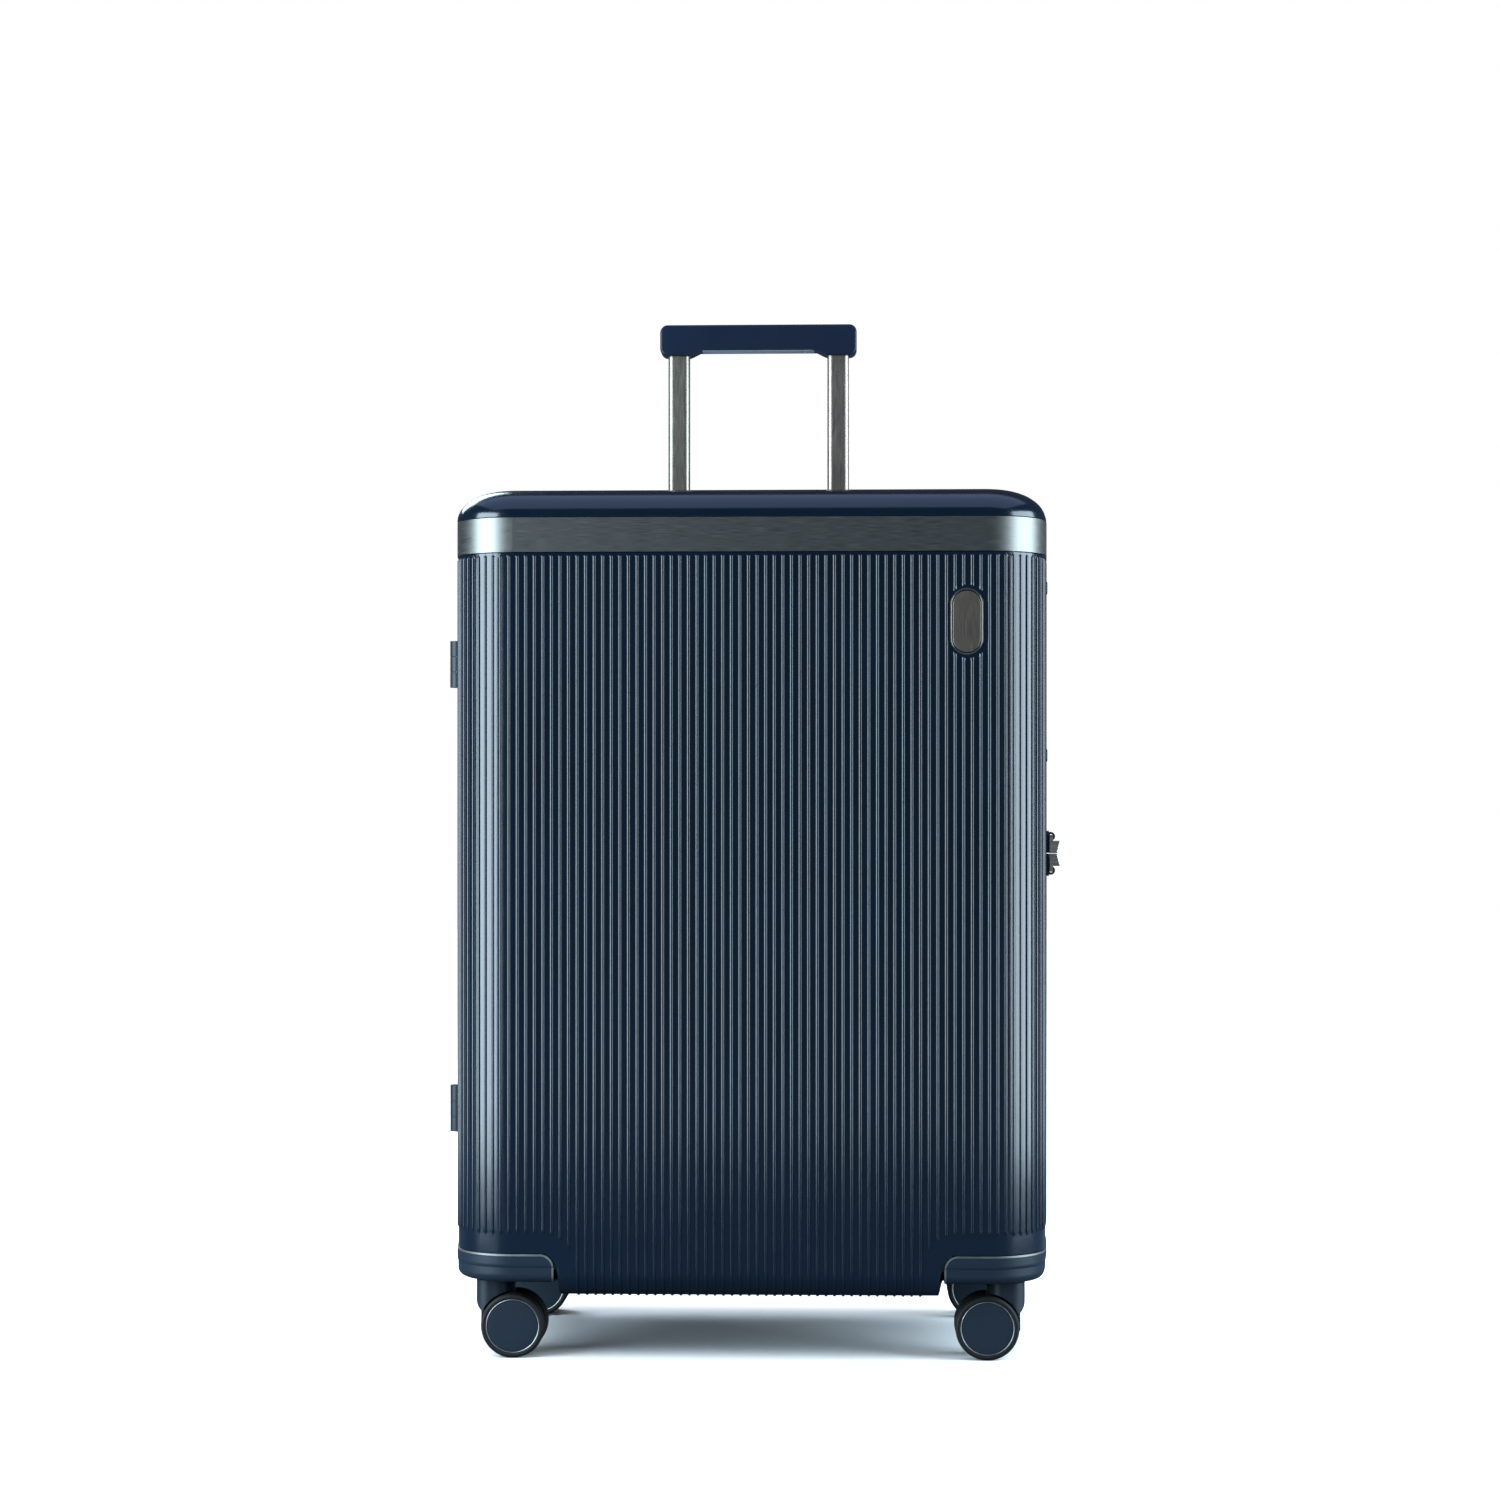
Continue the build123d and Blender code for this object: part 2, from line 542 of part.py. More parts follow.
def lock_button():
    middle_y = sum(LOCK_Y) / 2
    cap = box((LOCK_X[1] - 3.5, HALF_WIDTH + 1.3), (middle_y - 8, middle_y + 8), LOCK_BUTTON_Z)
    return fillet(cap.edges().filter_by(Axis.X), 2)


# ---- zip sliders: side is 1 for the upper one, -1 for the lower one ----
def tab_pivot(side):
    return SLIDERS_Z + side * (TAB_LENGTH + TAB_TIP_GAP + TAB_LOOP_R)


def slider(side):
    """Top plate over the teeth and the loop that its pull tab hangs in, away from the other one."""
    pivot = tab_pivot(side)
    near, far = sorted((SLIDERS_Z + side * SLIDER_END_GAP, pivot + side * 5))
    plate = box((SLIDER_X, SLIDER_X + 3.0), (-5, 5), (near, far))
    plate = fillet(plate.edges().filter_by(Axis.X), 3)
    loop = rod(SLIDER_X + 4.6, (-3, 3), pivot, TAB_LOOP_R, Axis.Y)
    loop += box((SLIDER_X + 1, SLIDER_X + 3), (-3, 3), (pivot - TAB_LOOP_R, pivot + TAB_LOOP_R))
    loop -= rod(SLIDER_X + 5.2, (-5, 5), pivot, 2.0, Axis.Y)
    loop -= box((0, SLIDER_X), (-9, 9), (0, 900))
    return plate + loop


def pull_tab(side):
    """Metal tab on a ring through the slider's loop, lying towards the other slider."""
    pivot = tab_pivot(side)
    tip = SLIDERS_Z + side * TAB_TIP_GAP
    root = tip + side * TAB_LENGTH
    back, front = TAB_X
    profile = Polygon((back, tip), (front, tip), (front + TAB_FLARE, root), (back, root), align=None)
    tab = Rot(90, 0, 0) * extrude(profile, amount=6.5, both=True)
    tab = fillet(tab.edges().filter_by(Axis.Y).sort_by(Axis.X)[-2:], 0.8)
    tab = fillet(tab.faces().sort_by(Axis.X)[-1].edges().filter_by(lambda e: abs(e.center().Y) > 6), 0.8)
    arm = sorted((root - side, pivot + side * 1.2))
    for y in ((-6.5, -4.0), (4.0, 6.5)):
        tab += box((back, back + 3.0), y, arm)
    return tab + rod(SLIDER_X + 5.2, (-6.5, 6.5), pivot, 1.3, Axis.Y)


# ---- casters, about their swivel axis, with the axle towards +X before the turn ----
def caster_fork(turn):
    """Fender over the outer quarter of the wheels, with the web between them that holds the axle."""
    axle_x, half = CASTER_TRAIL, FORK_HALF_DEPTH
    top = box((-FORK_OUTER, 14), (-half, half), (37, FORK_TOP_Z - 0.5))
    top = fillet(top.edges().filter_by(Axis.Z), 12)
    top &= fillet(box((-FORK_OUTER, 30), (-half, half), (37, 90)).edges().filter_by(Axis.Y)
                  .sort_by(Axis.Z)[:2].sort_by(Axis.X)[0], FENDER_TAIL_R)
    top -= rod(axle_x, (-half - 1, half + 1), WHEEL_R, FENDER_R, Axis.Y)
    web = box((-FORK_OUTER + 4, axle_x), (-WEB_HALF, WEB_HALF), (WHEEL_R - 4, 62))
    web += rod(axle_x, (-WEB_HALF, WEB_HALF), WHEEL_R, 9, Axis.Y)
    collar = rod(0, 0, (60, FORK_TOP_Z), 15)
    fork = top + web + collar
    fork -= rod(axle_x, (-half - 1, half + 1), WHEEL_R, AXLE_R, Axis.Y)
    fork -= rod(0, 0, (46, 90), STEM_R)
    return Rot(0, 0, turn) * fork


def caster_pins(turn):
    """The swivel stem, headed above its mount, and the axle across the fork."""
    stem = rod(0, 0, (46, STEM_TOP_Z), STEM_R)
    axle = rod(CASTER_TRAIL, (-20.3, 20.3), WHEEL_R, AXLE_R, Axis.Y)
    return Rot(0, 0, turn) * group([stem, axle])


def twin(shape):
    """The wheel part beyond the web and its twin on the other side."""
    return group([shape, mirror(shape, about=Plane.XZ)])


def caster_hubs(turn):
    inner, outer = WHEEL_INNER_Y, WHEEL_INNER_Y + WHEEL_THICK
    hub = rod(CASTER_TRAIL, (inner + 0.5, outer - 0.6), WHEEL_R, HUB_R, Axis.Y)
    hub += rod(CASTER_TRAIL, (inner - 0.9, inner + 1), WHEEL_R, 6, Axis.Y)
    hub -= rod(CASTER_TRAIL, (inner - 2, 20.6), WHEEL_R, AXLE_R + RUNNING, Axis.Y)
    return Rot(0, 0, turn) * twin(hub)


def caster_tyres(turn):
    inner, outer = WHEEL_INNER_Y, WHEEL_INNER_Y + WHEEL_THICK
    tyre = rod(CASTER_TRAIL, (inner, outer), WHEEL_R, WHEEL_R, Axis.Y)
    tyre = fillet(tyre.edges().filter_by(GeomType.CIRCLE), 2.5)
    tyre -= rod(CASTER_TRAIL, (inner - 1, outer + 1), WHEEL_R, HUB_R, Axis.Y)
    return Rot(0, 0, turn) * twin(tyre)


# ---- inside the rear half ----
def strap(side):
    """Two webbing strips from the upper and lower side of the case to the buckle."""
    strips = None
    for up in (-1, 1):
        start, end = (side * 254.5, 405 + up * 235), (side * 24, 405 + up * 4)
        middle = ((start[0] + end[0]) / 2, (start[1] + end[1]) / 2)
        length = ((start[0] - end[0]) ** 2 + (start[1] - end[1]) ** 2) ** 0.5
        angle = degrees(asin((end[1] - start[1]) / length)) * side * -1
        strip = Pos(middle[0], STRAP_Y, middle[1]) * Rot(0, -angle, 0) * Box(length, 1.4, 25)
        strips = strip if strips is None else strips + strip
    return strips & case_solid(LINING_INSET + LINING_THICK + 0.2)


def compression_straps():
    return both_sides(strap(1))


def strap_buckle():
    buckle = box((-26, 26), (STRAP_Y - 5, STRAP_Y + 5), (387, 423))
    buckle = fillet(buckle.edges().filter_by(Axis.Y), 6)
    for side in (-1, 1):
        buckle -= box(sorted((side * 14, side * 40)), (STRAP_Y - 1.1, STRAP_Y + 1.1), (370, 440))
    return buckle


def main():
    os.makedirs("parts", exist_ok=True)
    nodes = {}

    def pair(name, shapes):
        nodes["front_" + name], nodes["rear_" + name] = shapes

    pair("shell", shells())
    pair("band", bands())
    pair("guards", guards())
    pair("guard_trims", guard_trims())
    pair("lining", linings())
    pair("zipper_tape", zipper_tapes())
    pair("caster_mounts", caster_mounts())
    front_leaves, rear_leaves, pins = hinges()
    nodes.update(front_hinge_leaves=front_leaves, rear_hinge_leaves=rear_leaves, hinge_pins=pins)
    for make in (divider_panel, handle_bezel, handle_channels, channel_bracket, handle_tubes, tube_feet,
                 handle_grip, grip_insert, grip_screws, push_button, push_rods, top_handle_lugs,
                 side_handle_lugs, lock_body, lock_button, compression_straps, strap_buckle):
        nodes[make.__name__] = make()
    nodes["badge_plate"] = badge(0, INLAY_BED - 0.7, -HALF_DEPTH + INLAY_BED)
    nodes["top_carry_handle"] = on_top(bail(BAIL_LENGTH, BAIL_REACH, (14.0, 8.0)))
    nodes["side_carry_handle"] = on_side(bail(BAIL_LENGTH, BAIL_REACH, (14.0, 6.0)))
    for index, z in enumerate(DIAL_ZS, start=1):
        nodes[f"lock_dial_{index}"] = lock_dial(z)
    for name, side in (("upper", 1), ("lower", -1)):
        nodes[name + "_slider"] = slider(side)
        nodes[name + "_pull_tab"] = pull_tab(side)
    for place, x, y in caster_places():
        turn = 0 if x < 0 else 180
        for name, make in (("fork", caster_fork), ("pins", caster_pins), ("hubs", caster_hubs),
                           ("tyres", caster_tyres)):
            nodes[f"{place}_{name}"] = Pos(x, y, 0) * make(turn)

    for name, shape in nodes.items():
        export_step(shape, f"parts/{name}.step")


if __name__ == "__main__":
    main()
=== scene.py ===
"""The suitcase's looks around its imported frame: ribbed shells, fittings, materials, light and camera."""
import bpy
import bmesh
import json
import math
import numpy as np
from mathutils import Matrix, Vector


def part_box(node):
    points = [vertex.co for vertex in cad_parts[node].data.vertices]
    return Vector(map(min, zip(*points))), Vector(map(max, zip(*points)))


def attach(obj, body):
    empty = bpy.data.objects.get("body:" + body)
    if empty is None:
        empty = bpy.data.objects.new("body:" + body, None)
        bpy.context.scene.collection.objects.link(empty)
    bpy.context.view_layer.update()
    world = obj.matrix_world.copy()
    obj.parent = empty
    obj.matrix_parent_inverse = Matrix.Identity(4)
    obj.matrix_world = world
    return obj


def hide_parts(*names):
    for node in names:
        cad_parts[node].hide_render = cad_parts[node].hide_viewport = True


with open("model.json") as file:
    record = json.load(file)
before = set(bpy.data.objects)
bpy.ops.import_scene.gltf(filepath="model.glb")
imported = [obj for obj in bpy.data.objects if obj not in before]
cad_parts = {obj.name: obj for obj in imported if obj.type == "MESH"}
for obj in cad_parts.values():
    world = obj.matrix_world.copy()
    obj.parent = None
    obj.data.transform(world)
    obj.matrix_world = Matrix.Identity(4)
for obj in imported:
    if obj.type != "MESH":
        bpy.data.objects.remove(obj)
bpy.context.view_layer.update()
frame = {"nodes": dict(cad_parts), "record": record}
MM = 0.001

# ---- the case's outer form, in millimetres, as in the solids ----
shell_low, shell_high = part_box("front_shell")
HALF_WIDTH = shell_high[0] / MM
HALF_DEPTH = -shell_low[1] / MM
TOP_Z = shell_high[2] / MM
SEAM_Y = -shell_high[1] / MM
FLAT_X = 202.0              # half the flat part of the front's width
CORNER_R = 54.0             # the plan's corners
TOP_RUN, TOP_DROP = 43.0, 26.0  # the top edge's elliptic round: inwards and downwards
EDGE_R = 20.0               # the lower edge
BELLY_X = 164.0             # half the width of the lower middle, between the casters
STEP_Z, STEP_IN = 78.0, 4.1  # the sides' step over the casters: its height and how far it goes in
BELLY_Z, CORNER_Z = shell_low[2] / MM, 68.0  # undersides between and over the casters
CORNER_Y = HALF_DEPTH - CORNER_R
REACH = HALF_WIDTH - FLAT_X
SIDE_R = (CORNER_Y ** 2 + REACH ** 2 - CORNER_R ** 2) / (2 * (REACH - CORNER_R))
SIDE_TURN = math.asin(CORNER_Y / (SIDE_R - CORNER_R))
CORNER_END = FLAT_X + CORNER_R * (math.pi / 2 - SIDE_TURN)
SEAM_S = CORNER_END + SIDE_R * (SIDE_TURN - math.asin(SEAM_Y / SIDE_R))
WALL = 3.2
BEZEL_HALF = 98.2           # half the width of the opening for the handle's bezel
HEM_REACH = 10.0            # how far the shells' walls turn in behind the seam

# ---- ribs and what they stop at ----
RIB_PITCH = 7.333
RIB_R = 1.3                 # half a rib's width
RIB_DEPTH = 1.1
VALLEY_RISE = 0.12          # how much the valleys swell in their middle
RIB_STEPS = (-2.6, -1.45, -1.24, -1.1, -0.85, -0.45, 0.0, 0.45, 0.85, 1.1, 1.24, 1.45, 2.6)  # across one
RIB_END_GAP = 2.8           # smooth strip below the band
RIBS_PLAIN = (590.0, 125.0)  # between these heights nothing ends a rib
GUARD_X, GUARD_Z, GUARD_R = 167.0, 92.5, 11.5  # the guards' inner end, top and corner
GUARD_MARGIN = 18.0         # smooth margin round the guards
BED_DEPTH = 3.0             # the shell lies this far in under the guards
BADGE_ROOM = (16.5, 31.0)   # half width and half height of the smooth field round the badge

# ---- fittings and cloth ----
ZIP_INSET = 1.6
TOOTH_PITCH = 2.6
LINING_INSET = 5.4
TUBE_WIDTH = 20.3
EDGE_ROUND = 0.4            # on every hard edge of the carried-over nodes
STRAP_WIDTH, STRAP_THICK = 25.0, 1.4
STRAP_END_X, STRAP_END_UP = 253.0, 233.5  # the straps' outer ends, from the buckle
CASTER_X, CASTER_Y = 221.0, 108.0
COVER_HALF = 26.5           # half the width of the pads over the casters' bolts
COVER_PROFILE = [(72.5, 1.0), (84.0, 1.004), (96.0, 1.0), (100.0, 0.985), (102.6, 0.94), (104.2, 0.86),
                 (105.0, 0.74), (105.5, 0.55), (105.8, 0.34), (105.9, 0.12)]  # height, share of that width
badge_low, badge_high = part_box("badge_plate")
BADGE_X = (badge_low[0] + badge_high[0]) / 2 / MM
BADGE_Z = (badge_low[2] + badge_high[2]) / 2 / MM
BAND_LOW, BAND_HIGH = (corner[2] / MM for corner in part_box("front_band"))


def box_mm(node):
    """A node's lower and upper corner in millimetres."""
    return [[v / MM for v in corner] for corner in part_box(node)]


# ---- mesh helpers ----
def mesh_object(name, verts, faces, smooth=True):
    """A mesh from points in metres and faces."""
    mesh = bpy.data.meshes.new(name)
    mesh.from_pydata([tuple(v) for v in verts], [], [tuple(f) for f in faces])
    mesh.validate()
    mesh.polygons.foreach_set("use_smooth", [smooth] * len(mesh.polygons))
    obj = bpy.data.objects.new(name, mesh)
    bpy.context.scene.collection.objects.link(obj)
    return obj


def grid_faces(rows, cols, start=0, wrap=False):
    """Quads between rows of points."""
    faces = []
    for r in range(rows - 1):
        for c in range(cols if wrap else cols - 1):
            d = (c + 1) % cols
            faces.append((start + r * cols + c, start + r * cols + d,
                          start + (r + 1) * cols + d, start + (r + 1) * cols + c))
    return faces


def tidy(obj, merge=1e-6):
    """Joins doubled points and makes the normals consistent."""
    bm = bmesh.new()
    bm.from_mesh(obj.data)
    bmesh.ops.remove_doubles(bm, verts=bm.verts, dist=merge)
    bmesh.ops.recalc_face_normals(bm, faces=bm.faces)
    bm.to_mesh(obj.data)
    bm.free()
    return obj


def sharp_by_angle(obj, degrees):
    """Shades the mesh smooth except across edges sharper than this."""
    obj.data.set_sharp_from_angle(angle=math.radians(degrees))
    return obj


def bevel(obj, width):
    """A small rounded edge that stays a modifier, so a CAD mesh isn't changed."""
    mod = obj.modifiers.new("Edge", "BEVEL")
    mod.width = width
    mod.segments = 2
    mod.limit_method = "ANGLE"
    mod.angle_limit = math.radians(30)
    mod.harden_normals = True


def smoothstep(x, low, high):
    """0 below low, 1 above high, and an even curve between them."""
    t = np.clip((x - low) / (high - low), 0, 1)
    return t * t * (3 - 2 * t)


# ---- the case's surface ----
def plan_point(s, inset):
    """x, y of the front half's plan outline, s along it from the middle, moved in by inset."""
    a = np.abs(s)
    turn_corner = -math.pi / 2 + (a - FLAT_X) / CORNER_R
    turn_side = -SIDE_TURN + (a - CORNER_END) / SIDE_R
    x = np.where(a <= FLAT_X, a, np.where(a <= CORNER_END,
                 FLAT_X + (CORNER_R - inset) * np.cos(turn_corner),
                 HALF_WIDTH - SIDE_R + (SIDE_R - inset) * np.cos(turn_side)))
    y = np.where(a <= FLAT_X, inset - HALF_DEPTH, np.where(a <= CORNER_END,
                 -CORNER_Y + (CORNER_R - inset) * np.sin(turn_corner),
                 (SIDE_R - inset) * np.sin(turn_side)))
    return np.sign(s) * x, y


def guard_distance(s, z):
    """Distance outside the corner guard's outline."""
    across, up = GUARD_X + GUARD_R - np.abs(s), z - (GUARD_Z - GUARD_R)
    outside = np.hypot(np.maximum(across, 0), np.maximum(up, 0))
    return outside + np.minimum(np.maximum(across, up), 0) - GUARD_R


def pill_distance(x, z, half_width, half_height):
    """Distance outside an upright pill with its middle at 0, 0."""
    up = np.maximum(np.abs(z) - (half_height - half_width), 0)
    return np.hypot(x, up) - half_width


def rib_depth(s, z, front):
    """How far the surface lies below the ribs' tops, at s along the plan and height z."""
    u = s - RIB_PITCH * np.round(s / RIB_PITCH)
    guard = guard_distance(s, z)
    room = np.minimum(BAND_LOW - RIB_END_GAP - z, guard - GUARD_MARGIN)
    if front:
        room = np.minimum(room, pill_distance(s - BADGE_X - 1.0, z - BADGE_Z, *BADGE_ROOM))
    r = np.hypot(u, np.maximum(RIB_R - room, 0))
    ridge = np.sqrt(np.maximum(1 - (r / RIB_R) ** 2, 0))
    away = np.clip((np.abs(u) - RIB_R) / (RIB_PITCH / 2 - RIB_R), 0, 1)
    valley = VALLEY_RISE * (0.5 - 0.5 * np.cos(math.pi * away)) * np.clip(room / 4, 0, 1)
    depth = RIB_DEPTH * (1 - ridge) - valley
    return np.where(guard < 0.4, BED_DEPTH, depth)


def rib_columns():
    """Places along the plan outline, closer over the ribs' tops."""
    count = int(SEAM_S / RIB_PITCH)
    places = [k * RIB_PITCH + u for k in range(-count, count + 1) for u in RIB_STEPS]
    extra = [side * v for side in (-1, 1) for v in (BELLY_X - 1.5, BELLY_X + 1.5, GUARD_X - 0.4, GUARD_X,
                                                    FLAT_X, SEAM_S - 1.5, SEAM_S)]
    return np.array(sorted(p for p in places + extra if abs(p) <= SEAM_S))


def wall_rows(front):
    """Heights of the straight part of the wall, close together where ribs end."""
    rows = [BAND_LOW - 0.8] + list(np.arange(BAND_LOW - 2.6, BAND_LOW - 5.4, -0.45)) + [684.0]
    if front:
        rows += list(np.arange(BADGE_Z + 35, BADGE_Z - 35.1, -1.4))
    rows += list(np.linspace(*RIBS_PLAIN, 9)) + list(np.arange(114, 88.1, -1.1)) + [88.0]
    return np.array(sorted(rows, reverse=True))


def hemmed(row, inwards, downwards=0.0):
    """A row of wall points from seam to seam, with the wall's thickness and inner side added at both ends."""
    left, right = row[:1].copy(), row[-1:].copy()
    left[:, 0] += inwards
    right[:, 0] -= inwards
    for end in (left, right):
        end[:, 2] -= downwards
    back = np.array([[0, -HEM_REACH, 0]])
    return np.concatenate([left + back, left, row, right, right + back])


def ribbed_wall(front):
    """Points and faces of one shell's wall below the band, its lower edge and its belly."""
    s = rib_columns()
    straight = wall_rows(front)
    rows = []
    for z in straight:
        depth = rib_depth(s, np.full_like(s, z), front)
        x, y = plan_point(s, depth)
        rows.append(np.stack([x, y, np.full_like(s, z)], 1))
    to_corner = smoothstep(np.abs(s), BELLY_X - 2, BELLY_X + 2)
    start_z, belly_steps, arc_steps = straight[-1], 5, 10
    for k in range(1, belly_steps + arc_steps + 1):
        points = []
        for bottom, straight_steps in ((BELLY_Z, belly_steps), (CORNER_Z, 0)):
            if k <= straight_steps:
                turn, z = 0.0, start_z + (bottom + EDGE_R - start_z) * k / straight_steps
            else:
                steps = belly_steps + arc_steps - straight_steps
                turn = math.pi / 2 * (k - straight_steps) / steps
                z = bottom + EDGE_R * (1 - math.sin(turn))
            depth = rib_depth(s, np.full_like(s, z), front)
            x, y = plan_point(s, EDGE_R - (EDGE_R - depth) * math.cos(turn))
            lower = z if turn == 0 else bottom + EDGE_R - (EDGE_R - depth) * math.sin(turn)
            points.append(np.stack([x, y, lower + 0 * s], 1))
        rows.append(points[0] * (1 - to_corner[:, None]) + points[1] * to_corner[:, None])
    hem = [hemmed(row, WALL - RIB_DEPTH) for row in rows]
    verts = np.concatenate(hem)
    faces = grid_faces(len(hem), len(hem[0]))
    # the belly's underside, from the lower edge to the seam
    flat = np.abs(s) <= FLAT_X - 0.01
    edge = hem[-1][2:-2][flat]
    under = [edge]
    for y in (-126, -122, -118, -110, -60, -SEAM_Y):
        row = edge.copy()
        fade = np.clip((-y - 116) / 12, 0, 1)
        row[:, 1] = y
        level = np.where(np.abs(s[flat]) < BELLY_X, BELLY_Z, CORNER_Z) + RIB_DEPTH
        row[:, 2] = level * (1 - fade) + edge[:, 2] * fade
        under.append(row)
    under.append(under[-1] + np.array([0, 0, WALL - RIB_DEPTH]))
    under.append(under[-1] - np.array([0, HEM_REACH, 0]))
    start = len(verts)
    verts = np.concatenate([verts] + under)
    faces += grid_faces(len(under), int(flat.sum()), start)
    return verts, faces


def cap():
    """Points and faces of one shell above the ribs: the band's bed, the rounded edge and the flat top.

    Its grid has lines at the bezel's edges, where the rear shell's opening is cut."""
    count = int(SEAM_S / RIB_PITCH)
    s = [k * RIB_PITCH for k in range(-count, count + 1)]
    s += [side * v for side in (-1, 1) for v in (BEZEL_HALF, FLAT_X, SEAM_S)]
    s = np.array(sorted(s))
    shape = [(RIB_DEPTH, BAND_LOW - 0.8), (0.25, BAND_LOW - 0.5), (2.2, BAND_LOW - 0.45),
             (2.2, BAND_HIGH + 0.45), (0.25, BAND_HIGH + 0.5), (0.0, BAND_HIGH + 0.8)]
    for k in range(13):
        turn = math.pi / 2 * k / 12
        shape.append((TOP_RUN * (1 - math.cos(turn)), TOP_Z - TOP_DROP * (1 - math.sin(turn))))
    rows = []
    for inset, z in shape:
        x, y = plan_point(s, inset)
        tilt = math.atan2(max(z - (TOP_Z - TOP_DROP), 0) / TOP_DROP ** 2 * TOP_RUN,
                          max(TOP_RUN - inset, 0.01) / TOP_RUN)
        row = np.stack([x, y, np.full_like(s, z)], 1)
        rows.append(hemmed(row, WALL * math.cos(tilt), WALL * math.sin(tilt)))
    cols = len(s) + 4
    faces = grid_faces(len(rows), cols)
    verts = np.concatenate(rows)
    flat = np.abs(s) <= FLAT_X + 0.01
    edge = rows[-1][2:-2]
    inner_rows = [edge[flat]]
    levels = [(-102.8, 0), (-96, 0), (-50, 0), (-SEAM_Y, 0), (-SEAM_Y, -WALL), (-SEAM_Y - HEM_REACH, -WALL)]
    for y, lift in levels:
        row = edge[flat].copy()
        row[:, 1] = y
        row[:, 2] = TOP_Z + lift
        inner_rows.append(row)
    start = len(verts)
    verts = np.concatenate([verts] + inner_rows)
    width = int(flat.sum())
    faces += grid_faces(len(inner_rows), width, start)
    # flat ends between the straight part and the corners' inner outline
    ring_start = (len(rows) - 1) * cols + 2
    beyond = [i for i in range(len(s)) if s[i] >= FLAT_X - 0.01]
    seam_row = start + 4 * width
    for right in (True, False):
        ring = [ring_start + (i if right else len(s) - 1 - i) for i in beyond]
        column = width - 1 if right else 0
        line = [start + r * width + column for r in range(4, 0, -1)]
        faces.append(ring + line)
        outer, inner = ring[-1], seam_row + column
        verts = np.concatenate([verts, verts[[outer, inner]] - [[0, 0, WALL]]])
        faces.append((outer, inner, len(verts) - 1, len(verts) - 2))
    return verts, faces


def cut_boxes(obj, boxes):
    """Removes the faces whose middle lies in any of the boxes, in millimetres."""
    bm = bmesh.new()
    bm.from_mesh(obj.data)
    gone = []
    for face in bm.faces:
        c = face.calc_center_median() / MM
        if any(all(low[i] < c[i] < high[i] for i in range(3)) for low, high in boxes):
            gone.append(face)
    bmesh.ops.delete(bm, geom=gone, context="FACES")
    bm.to_mesh(obj.data)
    bm.free()


def shell(name, front):
    """One ribbed shell, in place of the smooth one in the solids."""
    verts, faces = ribbed_wall(front)
    cap_verts, cap_faces = cap()
    faces = faces + [tuple(i + len(verts) for i in face) for face in cap_faces]
    verts = np.concatenate([verts, cap_verts]) * MM
    if not front:
        verts[:, 1] *= -1
        faces = [tuple(reversed(face)) for face in faces]
    obj = mesh_object(name + "_ribbed", verts, faces)
    tidy(obj, 2e-6)
    if not front:
        low, high = box_mm("handle_bezel")
        lock_low, lock_high = box_mm("lock_body")
        past_side, past_top = HALF_WIDTH + 40, TOP_Z + 50
        cut_boxes(obj, [((low[0] + 2, low[1] + 1, TOP_Z - 50), (high[0] - 2, high[1] - 1, past_top)),
                        (lock_low, (past_side, lock_high[1], lock_high[2]))])
    sharp_by_angle(obj, 50)
    place_piece(obj, "front_case" if front else "rear_case", "shell_navy", [name])


# ---- materials ----
class Nodes:
    """A material's node tree with short ways to add and join nodes."""

    def __init__(self, name):
        self.material = bpy.data.materials.new(name)
        self.material.use_nodes = True
        self.tree = self.material.node_tree
        self.shader = self.tree.nodes["Principled BSDF"]
        self.coords = self.tree.nodes.new("ShaderNodeTexCoord").outputs["Object"]

    def add(self, kind, **values):
        node = self.tree.nodes.new("ShaderNode" + kind)
        for key, value in values.items():
            if key in node.inputs:
                node.inputs[key].default_value = value
            else:
                setattr(node, key, value)
        return node

    def join(self, a, b):
        self.tree.links.new(a, b)

    def scaled(self, scale):
        mapping = self.add("Mapping")
        mapping.inputs["Scale"].default_value = scale
        self.join(self.coords, mapping.inputs["Vector"])
        return mapping.outputs["Vector"]

    def noise(self, scale, detail=3.0, stretch=(1, 1, 1), rough=0.5):
        node = self.add("TexNoise", Scale=scale, Detail=detail, Roughness=rough)
        self.join(self.scaled(stretch), node.inputs["Vector"])
        return node.outputs["Fac"]

    def spread(self, value, low, high, start=0.3, stop=0.7):
        node = self.add("MapRange")
        for key, number in (("From Min", start), ("From Max", stop), ("To Min", low), ("To Max", high)):
            node.inputs[key].default_value = number
        self.join(value, node.inputs["Value"])
        return node.outputs["Result"]

    def colours(self, value, colours):
        ramp = self.add("ValToRGB")
        elements = ramp.color_ramp.elements
        for i, (place, colour) in enumerate(colours):
            element = elements[i] if i < 2 else elements.new(place)
            element.position = place
            element.color = (*colour, 1)
        self.join(value, ramp.inputs["Fac"])
        return ramp.outputs["Color"]

    def set(self, name, value):
        socket = self.shader.inputs[name]
        if isinstance(value, bpy.types.NodeSocket):
            self.join(value, socket)
        else:
            socket.default_value = value

    def bump(self, height, strength, distance):
        node = self.add("Bump", Strength=strength, Distance=distance)
        self.join(height, node.inputs["Height"])
        self.join(node.outputs["Normal"], self.shader.inputs["Normal"])


def shade(colour, factor):
    """The colour, darker or lighter by a factor."""
    return tuple(c * factor for c in colour)


